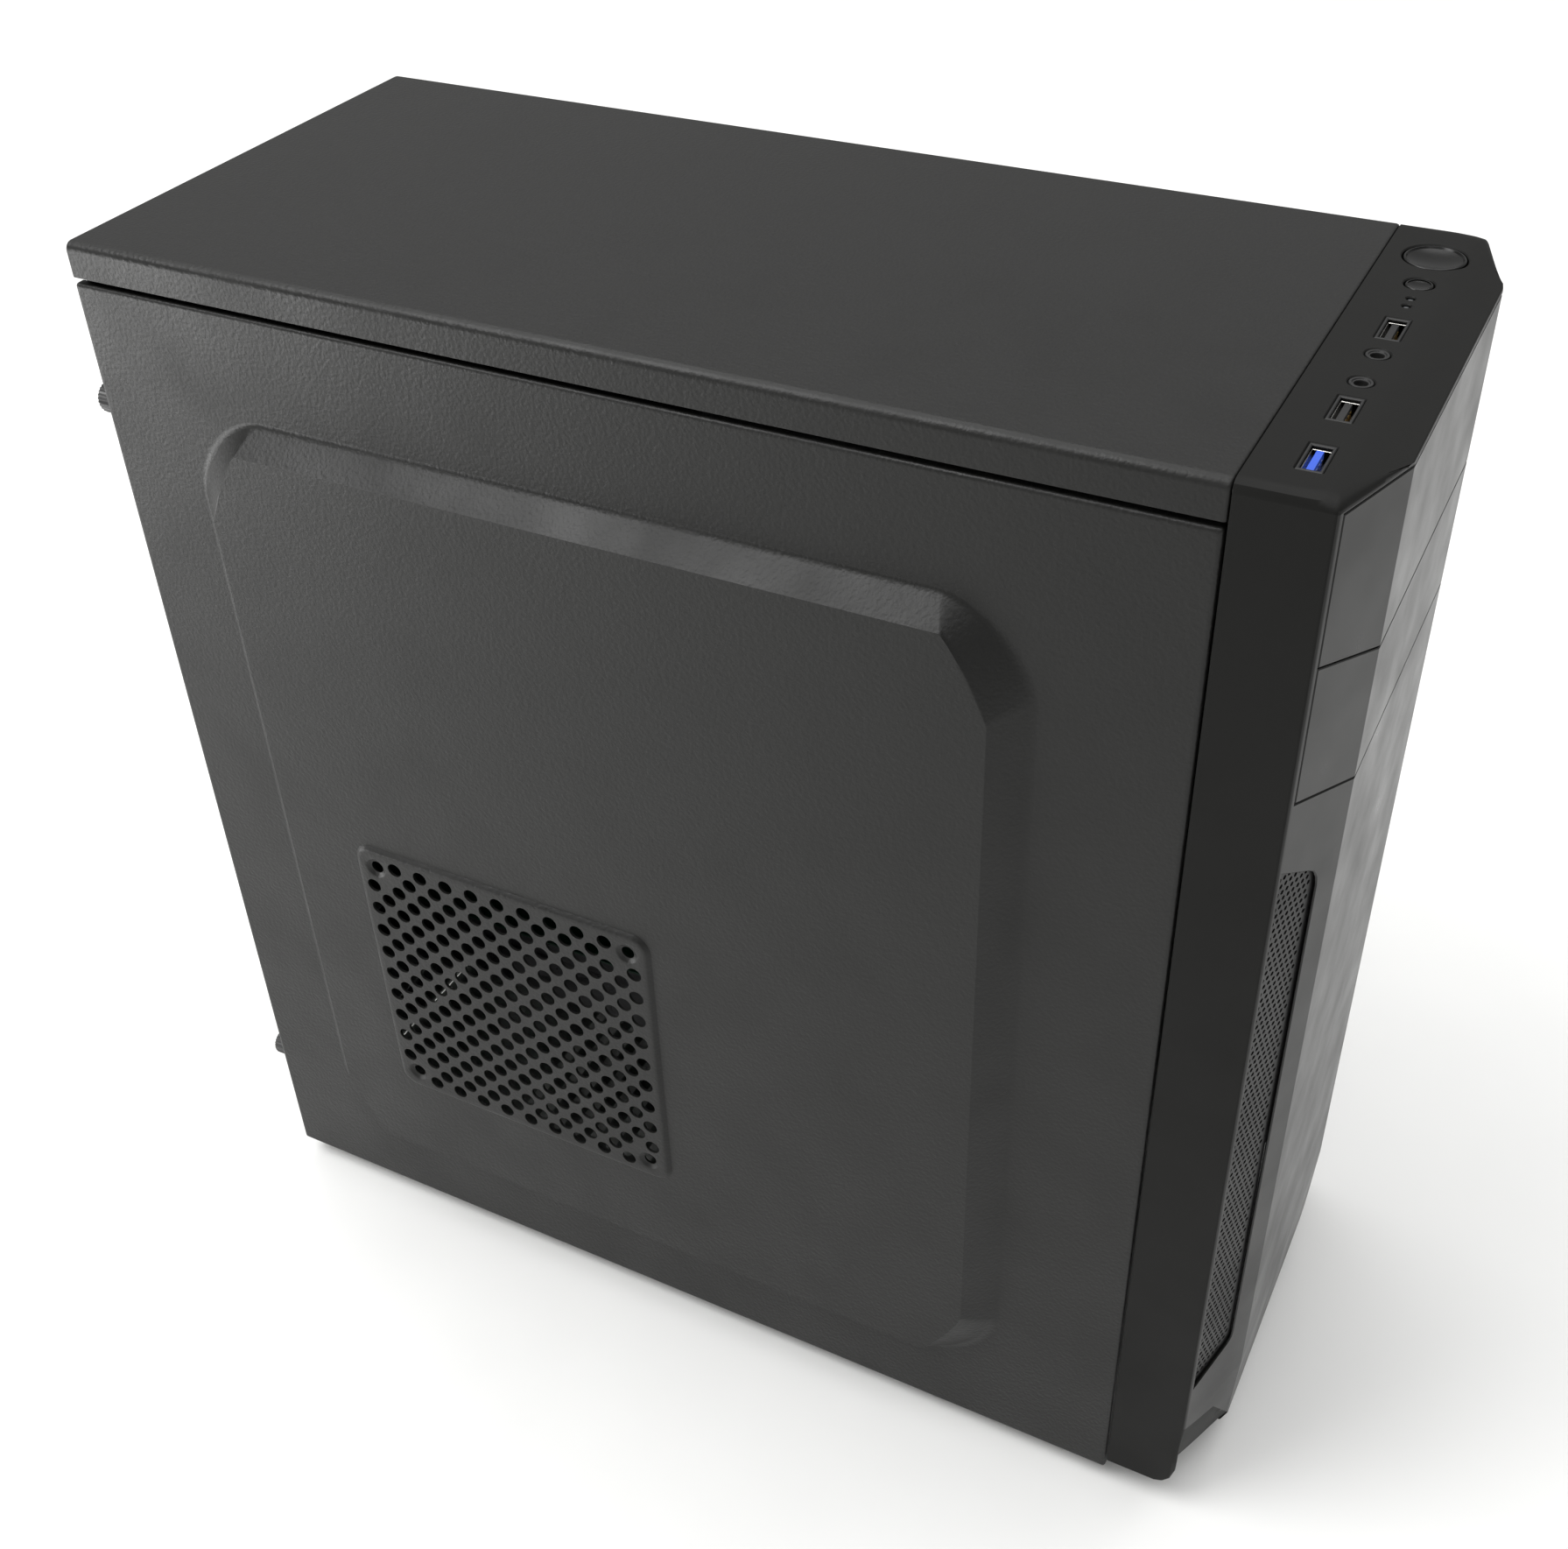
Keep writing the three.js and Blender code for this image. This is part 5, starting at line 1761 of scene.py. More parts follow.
    def optical(self) -> Form:
        """Make the 5.25 inch cage with the slots for its drives' screws."""
        y0 = self.front + self.sheet + self.gap
        y1 = y0 + self.cage
        vents = [
            soft_rectangle(x - 12, x + 12, y, y + 6, 3, steps=2) for x in (-48, 0, 48)
            for y in range(30, 140, 22)
        ]
        made = [
            Form.plate(
                soft_rectangle(-self.bay_half, self.bay_half, y0, y1, 1), vents, self.sheet, 0.12,
            ).shifted(0, 0, self.bay_floor + self.sheet)
        ]
        slots = [
            soft_rectangle(y, y + 9, z - 1.8, z + 1.8, 1.7, steps=2) for y in (28, 52, 107)
            for z in (334, 345, 376, 387)
        ]
        slots += [soft_rectangle(72, 98, z, z + 16, 4, steps=3) for z in (333, 372)]
        for side in Side:
            wall = Form.plate(
                soft_rectangle(y0, y1, self.bay_floor, self.top - 1, 2), slots, self.sheet, 0.12,
            )
            made.append(sideways(wall, side.value * self.bay_half, side))
        return gather(made)

    def drives(self) -> Form:
        """Make the 3.5 inch cage."""
        y0 = self.front + self.sheet + self.gap
        y1 = y0 + self.cage
        z0, z1 = self.drive_z
        vents = [
            soft_rectangle(x - 10, x + 10, y, y + 7, 3, steps=2) for x in (-30, 0, 30)
            for y in range(24, 140, 20)
        ]
        lid, floor = (
            Form.plate(soft_rectangle(-self.drive_half, self.drive_half, y0, y1, 1), vents, self.sheet, 0.12)
            for _ in range(2)
        )
        made = [lid.shifted(0, 0, z1), floor.turned_over(z0)]
        slots = [
            soft_rectangle(y, y + 8, z - 1.8, z + 1.8, 1.7, steps=2) for y in (30, 74, 118)
            for z in (218, 246, 274, 302)
        ]
        slots += [soft_rectangle(48, 66, z - 5, z + 5, 3, steps=3) for z in (232, 260, 288)]
        for side in Side:
            wall = Form.plate(
                soft_rectangle(y0, y1, z0 + self.sheet, z1 - self.sheet, 0.5, steps=2), slots, self.sheet,
                0.12,
            )
            made.append(sideways(wall, side.value * self.drive_half, side))
        return gather(made)

    def build(self) -> None:
        """Make all the chassis pieces."""
        Piece("bottom_pan").make(self.bottom())
        Piece("rear_panel").make(self.back())
        Piece("front_frame").make(self.face())
        Piece("front_rail").make(self.rail())
        Piece("board_tray").make(self.tray())
        Piece("optical_cage").make(self.optical())
        Piece("drive_cage").make(self.drives())


# ---- fans ---------------------------------------------------------------------------------


@dataclass(frozen=True)
class Fan:
    """An axial fan, drawn to blow along +Z with its motor seat at the far face."""

    name: str
    bore: float
    place: Matrix
    size: float = 0.0
    screws: float = 41.25
    depth: float = 25.0
    blades: int = 7
    flange: float = 4.0

    def frame(self) -> Form:
        """Make the frame: two flanges, a duct, corner posts, struts and the motor seat."""
        half, deep = self.size / 2, self.depth
        outline = soft_rectangle(-half, half, -half, half, 5)
        holes = [circle(0, 0, self.bore, 56), *square_of(0, 0, self.screws, 2.1)]
        made = [Form.plate(outline, holes, self.flange, 0.35).shifted(0, 0, z) for z in (self.flange, deep)]
        duct = [
            (self.bore, 1), (self.bore + 1.3, 1), (self.bore + 1.3, deep - 1), (self.bore, deep - 1),
            (self.bore, 1),
        ]
        post = [(2.1, 2), (3.4, 2), (3.4, deep - 2), (2.1, deep - 2), (2.1, 2)]
        made.append(Form.lathe(duct, 56))
        made += [
            Form.lathe(post, 12).shifted(a * self.screws, b * self.screws, 0) for a in (-1, 1)
            for b in (-1, 1)
        ]
        seat = self.bore * 0.36
        made.append(
            Form.lathe(
                [(0, deep - 3), (seat, deep - 3), (seat, deep - 0.8), (seat - 0.8, deep), (0, deep)], 40,
            )
        )
        strut = Form.block((seat - 1, -2.2, deep - 2.8), (self.bore + 0.8, 2.2, deep - 0.3), 0.6)
        made.append(strut.moved(Matrix.Rotation(math.radians(20), 4, "Z")).fan_out(4))
        return gather(made)

    def rotor(self) -> Form:
        """Make the hub and its curved, twisted blades."""
        low, high = 1.0, self.depth - 4.5
        hub, tip, middle = self.bore * 0.38, self.bore - 1.5, (1.0 + self.depth - 4.5) / 2
        cap = [
            (0, low + 0.4), (hub * 0.5, low + 0.4), (hub * 0.54, low), (hub - 1.8, low), (hub, low + 1.8),
            (hub, high), (0, high),
        ]
        rows = []
        for k in range(8):
            share = k / 7
            radius = hub - 0.6 + (tip - hub + 0.6) * share
            spread = (0.42 + 0.06 * share) * 6.3 / self.blades
            rise = (high - low) / 2 - 1.2 - 1.6 * share
            upper, lower = [], []
            for step in range(7):
                t = step / 3 - 1
                angle = t * spread + 0.42 * share ** 1.5
                height = middle + t * rise + 1.4 * (1 - t * t)
                thick = 0.25 + 0.55 * (1 - t * t)
                upper.append((radius * math.cos(angle), radius * math.sin(angle), height + thick))
                lower.append((radius * math.cos(angle), radius * math.sin(angle), height - thick))
            rows.append(upper + lower[::-1])
        return Form.lathe(cap, 40).add(Form.stack(rows).fan_out(self.blades))

    def build(self) -> None:
        """Make the frame, where there is one, and the rotor."""
        if self.size:
            Piece(f"{self.name}_frame").make(self.frame().moved(self.place))
        Piece(f"{self.name}_rotor").make(self.rotor().moved(self.place))


def fans() -> list[Fan]:
    """List the tower's fans."""
    back, cross = Matrix.Rotation(math.pi / 2, 4, "X"), Matrix.Rotation(math.pi / 2, 4, "Y")
    return [
        Fan("rear_fan", 43.5, Matrix.Translation((REAR_FAN[0], 368.6, REAR_FAN[1])) @ back, 92.0),
        Fan(
            "front_fan", 57.0, Matrix.Translation((FRONT_FAN[0], 28.5, FRONT_FAN[1])) @ back, 120.0,
            LARGE_FAN_SCREWS,
        ),
        Fan("cpu_fan", 42.5, Matrix.Translation((-10.6, *PROCESSOR)) @ cross, 90.0, 40.6),
        Fan("graphics_fan", 42.0, Matrix.Translation((*GRAPHICS_FAN, 100)), depth=24.0, blades=9),
        Fan("psu_fan", 57.0, Matrix.Translation((*SUPPLY_FAN, 314.3))),
    ]


# ---- electronics --------------------------------------------------------------------------


GREEN, DARK, METAL, GILT = 0, 1, 2, 3


@dataclass(frozen=True)
class MainBoard:
    """The main board, upright with its parts towards -X."""

    x: float = 60.0
    thick: float = 1.6
    y: Flat = (161.0, 366.0)
    z: Flat = (64.0, 308.0)
    cpu: Flat = PROCESSOR
    memory: tuple[float, float] = (218.0, 229.0)
    ports: tuple[tuple[float, float, float], ...] = (
        (150, 187, 24), (192, 209, 27), (213, 228, 27), (233, 270, 40), (277, 299, 29),
    )

    def part(self, y: Flat, z: Flat, tall: float, soft: float = 0.4) -> Form:
        """Make a block that stands on the board.

        Args:
            y: Its ends along y.
            z: Its ends along z.
            tall: How far it stands out.
            soft: Its edge radius.
        """
        return Form.block((self.x - tall, y[0], z[0]), (self.x + 0.4, y[1], z[1]), soft)

    def slot(self, y: Flat, z: Flat, tall: float, cut: Flat) -> Form:
        """Make a slotted connector.

        Args:
            y: Its ends along y.
            z: Its ends along z.
            tall: How far it stands out.
            cut: Margin of its slot along y and along z.
        """
        hole = rectangle(y[0] + cut[0], y[1] - cut[0], z[0] + cut[1], z[1] - cut[1])
        return sideways(Form.plate(rectangle(*y, *z), [hole], tall, 0.3), self.x - tall)

    def can(self, y: float, z: float, radius: float, tall: float) -> Form:
        """Make a round capacitor with a scored metal top.

        Args:
            y: Its place along y.
            z: Its place along z.
            radius: Its radius.
            tall: How far it stands out.
        """
        body = Form.lathe(
            [
                (0, -0.3), (radius, -0.3), (radius, tall - 1), (radius - 0.5, tall - 0.3),
                (radius - 0.8, tall - 0.3), (0, tall - 0.3),
            ],
            16,
        ).dressed(DARK)
        lid = Form.lathe(
            [(0, tall - 0.5), (radius - 0.8, tall - 0.5), (radius - 1, tall), (0, tall)], 16,
        ).dressed(METAL)
        turn = Matrix.Translation((self.x, y, z)) @ Matrix.Rotation(-math.pi / 2, 4, "Y")
        return body.add(lid).moved(turn)

    def board(self) -> Form:
        """Make the board with everything soldered to it."""
        posts = [
            (y, z) for y in (self.y[0] + 12, self.y[1] - 12) for z in (self.z[0] + 10, 186, self.z[1] - 10)
        ]
        made = [
            sideways(
                Form.plate(
                    soft_rectangle(*self.y, *self.z, 1.5), [circle(y, z, 1.6, 12) for y, z in posts],
                    self.thick, 0.1,
                ),
                self.x,
            )
        ]
        for y, z in posts:
            screw = Form.lathe(
                [
                    (1.0, -8.0), (2.6, -8.0), (2.6, -1.7), (1.5, -1.7), (1.5, 0.3), (3.1, 0.3), (2.7, 1.5),
                    (1.0, 1.8), (1.0, -8.0),
                ],
                12,
            )
            made.append(
                screw.moved(
                    Matrix.Translation((self.x, y, z)) @ Matrix.Rotation(-math.pi / 2, 4, "Y")
                ).dressed(METAL)
            )
        cy, cz = self.cpu
        made.append(self.slot((cy - 22, cy + 22), (cz - 22, cz + 22), 4.6, (5, 5)).dressed(DARK))
        for y in self.memory:
            made.append(self.slot((y - 3, y + 3), (166, 306), 6, (2, 5)).dressed(DARK))
            made += [self.part((y - 2.6, y + 2.6), (a, a + 5), 9, 0.8).dressed(DARK) for a in (163, 304)]
        for tall, z in ((6, 132.0), (8, 111.68), (8, 71.04)):
            made.append(self.slot((215, 300), (z - 3.6, z + 3.6), tall, (2, 2.6)).dressed(DARK))
        made.append(self.slot((163, 172), (210, 262), 11, (1.4, 1.2)).dressed(DARK))
        made += [
            self.part((163.6, 171.4), (z, z + 0.9), 10.4, 0).dressed(DARK)
            for z in (215.5, 220, 224.5, 229, 233.5, 238, 242.5, 247, 251.5, 256)
        ]
        made += [self.part((172, 204), (142 + 4 * k, 144 + 4 * k), 10, 0.3).dressed(METAL) for k in range(8)]
        made.append(self.part((172, 204), (142, 174), 3, 0.3).dressed(METAL))
        made += [
            self.part((322, 331), (cz - 26 + k * 12, cz - 18 + k * 12), 7.5, 1.2).dressed(METAL)
            for k in range(5)
        ]
        made += [self.can(336.5, cz - 28 + k * 9, 3.6, 11) for k in range(7)]
        made += [
            self.can(y, z, 3.1, 8)
            for y, z in (
                (178, 190), (186, 190), (246, 160), (254, 160), (206, 96), (206, 80), (310, 150), (310, 128),
            )
        ]
        made += [
            self.part((y, y + 9), (z, z + 9), 1.6, 0.3).dressed(DARK)
            for y, z in ((245, 182), (312, 90), (340, 140), (180, 92), (270, 84))
        ]
        made += [self.part((164, 171), (z, z + 13), 8, 0.5).dressed(DARK) for z in (112, 127)]
        made += [
            self.part((y, y + 1.4), (z, z + 2.6), 1.0, 0).dressed(METAL) for y in range(176, 240, 8)
            for z in (200, 206, 120, 126)
        ]
        return gather(made)

    def rear(self) -> Form:
        """Make the stack of rear ports, with their mouths and tongues."""
        end = 369.7
        made = [Form.block((56, 342, 150), (59.7, 365.9, 299), 0.3)]
        for z0, z1, reach in self.ports:
            outline, mouth = rectangle(-59.7, -reach, z0, z1), rectangle(-54, -reach - 4, z0 + 3, z1 - 3)
            made.append(standing(Form.plate(outline, [mouth], 24, 0.25), end, back=True))
            made.append(Form.block((reach + 0.6, 344, z0 + 0.6), (59, 360, z1 - 0.6)).dressed(1))
            count = max(1, round((z1 - z0) / 15))
            for k in range(count):
                z = z0 + (k + 0.5) * (z1 - z0) / count
                tint = 2 if z0 == 233 else 1
                made.append(Form.block((reach + 8, 360, z - 1.1), (50, 367.5, z + 1.1), 0.2).dressed(tint))
        return gather(made)

    def shield(self) -> Form:
        """Make the thin shield round the rear ports."""
        holes = [rectangle(-60, -reach + 0.3, z0 - 0.3, z1 + 0.3) for z0, z1, reach in self.ports]
        outline = rectangle(-62.7, -19.3, 147.3, 305.45)
        return standing(Form.plate(outline, holes, 0.6, 0.1), 369.5, back=True)

    def cooler(self) -> Form:
        """Make the processor's cooler: a core with split, swept fins and a mounting ring."""
        y, z = self.cpu
        made = [Form.block((49.7, y - 20, z - 20), (54.7, y + 20, z + 20), 0.5)]
        turn = Matrix.Translation((0, y, z)) @ Matrix.Rotation(math.pi / 2, 4, "Y")
        made.append(Form.lathe([(0, 15), (14, 15), (15, 16), (15, 51), (0, 51)], 32).moved(turn))
        rows = []
        for k in range(7):
            radius, bend = 14 + 26 * k / 6, 0.22 * (k / 6) ** 2
            a = Vector((radius * math.cos(bend), radius * math.sin(bend)))
            n = Vector((-math.sin(bend), math.cos(bend))) * 0.45
            rows.append(
                [
                    (a.x - n.x, a.y - n.y, 15), (a.x + n.x, a.y + n.y, 15), (a.x + n.x, a.y + n.y, 49),
                    (a.x - n.x, a.y - n.y, 49),
                ]
            )
        made.append(Form.stack(rows).fan_out(36).moved(turn))
        return gather(made)

    def module(self, y: float) -> Form:
        """Make one memory module with its chips and contacts.

        Args:
            y: Where it stands.
        """
        x1, x0, (z0, z1) = 53.7, 23.7, (170.0, 303.0)
        card = Form.block((x0, y - 0.7, z0), (x1, y + 0.7, z1), 0.12)
        chips = [
            Form.block(
                (x0 + 6, y - 1.8, z0 + 9 + 15.2 * k), (x0 + 16, y + 1.8, z0 + 20 + 15.2 * k), 0.2,
            ).dressed(DARK)
            for k in range(8)
        ]
        pads = [
            Form.block(
                (x1 - 4, y - 0.78, z0 + 4 + 2.1 * k), (x1 - 0.4, y + 0.78, z0 + 5.3 + 2.1 * k),
            ).dressed(GILT)
            for k in range(60)
        ]
        return gather([card, *chips, *pads])

    def build(self) -> None:
        """Make the board and what plugs into it."""
        Piece("main_board").make(self.board())
        Piece("rear_ports").make(self.rear())
        Piece("io_shield").make(self.shield())
        Piece("cpu_heatsink").make(self.cooler())
        for k, y in enumerate(self.memory, 1):
            Piece(f"memory_module_{k}").make(self.module(y))


@dataclass(frozen=True)
class GraphicsCard:
    """The graphics card, its shroud, and the covers of the slots left free."""

    x: Flat = (-50.0, 53.7)
    y: Flat = (180.0, 367.9)
    z: float = 131.0
    bracket_x: Flat = (-66.0, 57.0)
    bracket_y: float = 368.6
    bracket_half: float = 9.2

    def bracket(self, z0: float, z1: float, holes: Sequence[list[Flat]] = ()) -> Form:
        """Make a slot bracket with a fork for its screw.

        Args:
            z0: Its lower edge.
            z1: Its upper edge.
            holes: Openings, in x and z.
        """
        a, b = self.bracket_x
        outline = [
            (a, z0 + 4), (a + 5, z0 + 2.4), (a + 9, z0), (b, z0), (b, z1), (a + 9, z1), (a + 5, z1 - 2.4),
            (a, z1 - 4),
        ]
        return standing(
            Form.plate(behind(outline), [behind(hole) for hole in holes], 1, 0.15), self.bracket_y, back=True,
        )

    def card(self) -> Form:
        """Make the card with its bracket, connectors and parts."""
        x0, x1 = self.x
        top = self.z + 1.6
        made = [
            Form.plate(
                soft_rectangle(x0, x1, *self.y, 1), [circle(x0 + 5, self.y[0] + 14, 1.6, 12)], 1.6, 0.1,
            ).shifted(0, 0, top)
        ]
        windows = [soft_rectangle(x, x + 10, 108, 124, 2, steps=2) for x in (-40, -27)]
        windows += [rectangle(-8, 12, 121, 129), rectangle(20, 44, 119, 129)]
        plate = self.bracket(
            SLOT_HEIGHTS[1] - self.bracket_half, SLOT_HEIGHTS[0] + self.bracket_half, windows,
        )
        made.append(plate.dressed(METAL))
        for a, b, low in ((-7.6, 11.6, 121.4), (20.4, 43.6, 119.4)):
            tube = Form.plate(
                rectangle(-b, -a, low, 128.8), [rectangle(-b + 1.4, -a - 1.4, low + 1.4, 127.2)], 12, 0.15,
            )
            made.append(standing(tube, 368.4, back=True).dressed(METAL))
            made.append(Form.block((a + 1, 355, low + 1), (b - 1, 362, 128.4)).dressed(DARK))
        made.append(
            Form.block(
                (x0 + 2, self.y[0] + 1, self.z - 10), (x0 + 14, self.y[0] + 8, self.z + 0.4), 0.5,
            ).dressed(DARK)
        )
        made += [
            Form.block(
                (x1 - 6, 216 + 2.0 * k, self.z - 0.1), (x1 - 0.5, 217.2 + 2.0 * k, top + 0.1),
            ).dressed(GILT)
            for k in range(40)
        ]
        made += [
            Form.block((x, y, top - 0.1), (x + 4, y + 2.4, top + 1.2), 0.2).dressed(DARK)
            for x in range(-40, 40, 11) for y in range(200, 340, 17)
        ]
        return gather(made)

    def shroud(self) -> Form:
        """Make the shroud with the round mouth of its fan."""
        outline = soft_rectangle(self.x[0] + 1, self.x[1] - 3, 192, 350, 8)
        low = Form.plate(outline, [circle(*GRAPHICS_FAN, 42, 64)], 22, 1.6)
        slots = [
            soft_rectangle(x, x + 3, y, y + 34, 1.4, steps=3) for x in (-30, -22, -14, 14, 22, 30)
            for y in (196,)
        ]
        lid = Form.plate(soft_rectangle(self.x[0] + 2.5, self.x[1] - 4.5, 194, 348, 7), slots, 8.7, 0)
        return low.turned_over(100).add(lid.shifted(0, 0, 130.7))

    def build(self) -> None:
        """Make the card, the shroud and the slot covers."""
        Piece("graphics_card").make(self.card())
        Piece("graphics_shroud").make(self.shroud())
        for i, z in enumerate(SLOT_HEIGHTS[2:], 1):
            rib = Form.block((-44, 368.2, z - 2.5), (45, 368.95, z + 2.5), 0.3)
            Piece(f"slot_cover_{i}").make(self.bracket(z - self.bracket_half, z + self.bracket_half).add(rib))


@dataclass(frozen=True)
class DiskDrive:
    """The 3.5 inch drive: cast body, stepped lid, screws and circuit board."""

    wide: float = 101.6
    long: float = 147.0
    tall: float = 26.1
    y: float = 6.0
    z: float = 233.5

    def build(self) -> None:
        """Make the drive."""
        x, y0, y1, top = self.wide / 2, self.y, self.y + self.long, self.z + self.tall
        body = Form.block((-x, y0, self.z + 3), (x, y1, top - 3), 0.6)
        rim = Form.plate(soft_rectangle(-x, x, y0, y1 - 8, 3), [], 3.4, 0.5).shifted(0, 0, top - 0.4)
        lid = Form.plate(soft_rectangle(-x + 6, x - 6, y0 + 6, y1 - 16, 9), [], 0.8, 0.3).shifted(0, 0, top)
        floor = Form.plate(soft_rectangle(-x + 3, x - 3, y0 + 4, y1 - 30, 2), [], 1.6, 0.1)
        made = [body, rim, lid, floor.turned_over(self.z).dressed(1)]
        for u, v in [(a * (x - 3.4), b) for a in (-1, 1) for b in (y0 + 4, y0 + 66, y1 - 13)]:
            made.append(
                Form.lathe(
                    [(0, top - 0.6), (2.1, top - 0.6), (2.1, top - 0.4), (1.6, top), (0, top)], 14,
                ).shifted(u, v, 0).dressed(2)
            )
        hub = Form.lathe(
            [(0, top - 0.3), (15, top - 0.3), (15, top - 0.25), (14.4, top), (0, top)], 40,
        ).shifted(0, y0 + 62, 0)
        Piece("hard_drive").make(gather([*made, hub]))


@dataclass(frozen=True)
class PowerSupply:
    """The power supply: housing with a wire guard, inner board, inlet and rocker switch."""

    half: float = 75.0
    y: Flat = (228.6, 368.6)
    z: Flat = (312.3, 398.3)
    fan: Flat = SUPPLY_FAN
    inlet: Flat = (50.0, 368.0)
    switch: float = 337.0
    tilt: float = 8.0

    def housing(self) -> Form:
        """Make the sheet housing with its guard and rear grille."""
        x, (y0, y1), (z0, z1) = self.half, self.y, self.z
        made = []
        under = Form.plate(
            soft_rectangle(-x, x, y0, y1, 1),
            [circle(*self.fan, 57, 64), *square_of(*self.fan, LARGE_FAN_SCREWS, 2.2)], 1, 0.12,
        )
        made.append(under.turned_over(z0))
        made.append(Form.plate(soft_rectangle(-x, x, y0, y1, 1), [], 1, 0.12).shifted(0, 0, z1))
        wires = [circle(0, 0, 0.7, 6)]
        for radius in range(12, 61, 8):
            ring = [(radius + u, v) for u, v in (*wires[0], wires[0][0])]
            made.append(Form.lathe(ring, 48).shifted(*self.fan, z0 + 0.9).dressed(1))
        for angle in (45, 135):
            a = Vector((math.cos(math.radians(angle)), math.sin(math.radians(angle)), 0)) * 60
            centre = Vector((*self.fan, z0 + 1.3))
            made.append(Form.rod(centre - a, centre + a, 0.8, steps=8).dressed(1))
        for side in Side:
            wall = Form.plate(soft_rectangle(y0 + 0.5, y1 - 0.5, z0 + 0.5, z1 - 0.5, 1), [], 1, 0.12)
            made.append(sideways(wall, side.value * x, side))
        made.append(
            standing(
                Form.plate(rectangle(-x + 1, x - 1, z0 + 1, z1 - 1), [circle(-50, z0 + 20, 8, 20)], 1, 0.12),
                y0,
            )
        )
        holes = honeycomb(-27, 68, z0 + 9, z1 - 6, (6.2, 5.4), 2.85, lambda u, v: u < 67)
        window = soft_rectangle(
            -self.inlet[0] - 13.5, -self.inlet[0] + 13.5, self.switch - 12, self.inlet[1] + 10.5, 1.5,
            steps=2,
        )
        tail = Form.plate(rectangle(-x + 0.2, x - 0.2, z0 + 0.2, z1 - 0.2), [*holes, window], 1, 0.12)
        made.append(standing(tail, y1, back=True))
        return gather(made)

    def board(self) -> Form:
        """Make the inner board with transformer, heat sinks and capacitors."""
        made = [Form.plate(soft_rectangle(-70, 70, 232, 340, 1.5), [], 1.6, 0.1).shifted(0, 0, 393.6)]
        made.append(Form.block((-20, 262, 358), (18, 300, 393), 1.5).dressed(DARK))
        made.append(Form.block((-22, 268, 364), (20, 294, 386), 1.0).dressed(GILT))
        for x in (-48, 40):
            made.append(Form.block((x, 240, 352), (x + 2, 320, 393), 0.3).dressed(METAL))
            made += [
                Form.block((x - 5, 242 + 6 * k, 352), (x + 6, 243.2 + 6 * k, 384), 0.2).dressed(METAL)
                for k in range(13)
            ]
        for y in (250, 276):
            can = [(0, 393), (8, 393), (8, 361.2), (7.2, 360), (0, 360)]
            made.append(Form.lathe(can, 24).shifted(60, y, 0).dressed(DARK))
        return gather(made)

    def socket(self) -> Form:
        """Make the mains inlet with its three pins and the switch's window."""
        x, z = self.inlet
        rear, face = 368.9, 370.2
        chamfered = [(-12, -8), (12, -8), (12, 3.5), (7.5, 8), (-7.5, 8), (-12, 3.5)]
        mouth = [(u - x, v + z) for u, v in chamfered]
        window = rectangle(-x - 7, -x + 7, self.switch - 10.4, self.switch + 10.4)
        flange = Form.plate(
            soft_rectangle(-x - 15, -x + 15, self.switch - 13.5, z + 12, 2), [mouth, window], face - rear,
            0.3,
        )
        body = Form.plate(
            rectangle(-x - 13.2, -x + 13.2, self.switch - 11.7, z + 10.2), [mouth, window], 14.6, 0,
        )
        end = Form.block((x - 13, rear - 20, self.switch - 11.5), (x + 13, rear - 14.4, z + 10), 0.4)
        pins = [
            Form.block((x + a - 2, face - 18, z + b - 1), (x + a + 2, face - 2.5, z + b + 1), 0.5).dressed(1)
            for a, b in ((-7, -3), (7, -3), (0, 3))
        ]
        return gather([standing(flange, face, back=True), standing(body, rear + 0.1, back=True), end, *pins])

    def rocker(self) -> Form:
        """Make the rocker switch, tipped to its off side."""
        outline = [
            (-5, -5), (2.4, -9.2), (3.8, -9.2), (3.2, -4.6), (3, 0), (3.2, 4.6), (3.8, 9.2), (2.4, 9.2),
            (-5, 5),
        ]
        form = sideways(Form.plate(outline, [], 12.8, 0.4), -6.4)
        turn = Matrix.Translation(
            (self.inlet[0], 365.3, self.switch)
        ) @ Matrix.Rotation(math.radians(self.tilt), 4, "X")
        return form.moved(turn)

    def build(self) -> None:
        """Make the pieces of the supply."""
        Piece("psu_case").make(self.housing())
        Piece("psu_board").make(self.board())
        Piece("mains_inlet").make(self.socket())
        Piece("psu_switch").make(self.rocker())


# ---- studio -------------------------------------------------------------------------------


@dataclass(frozen=True)
class SoftBox:
    """A rectangular studio light."""

    name: str
    place: tuple[float, float, float]
    aim: tuple[float, float, float]
    size: Flat
    power: float
    colour: tuple[float, float, float] = (1.0, 1.0, 1.0)

    def hang(self) -> None:
        """Hang the light and turn it towards its aim."""
        lamp = bpy.data.lights.new(self.name, "AREA")
        lamp.shape = "RECTANGLE"
        lamp.size, lamp.size_y = self.size
        lamp.energy = self.power
        lamp.color = self.colour
        made = bpy.data.objects.new(self.name, lamp)
        made.location = self.place
        made.rotation_euler = (Vector(self.aim) - Vector(self.place)).to_track_quat("-Z", "Y").to_euler()
        bpy.context.scene.collection.objects.link(made)


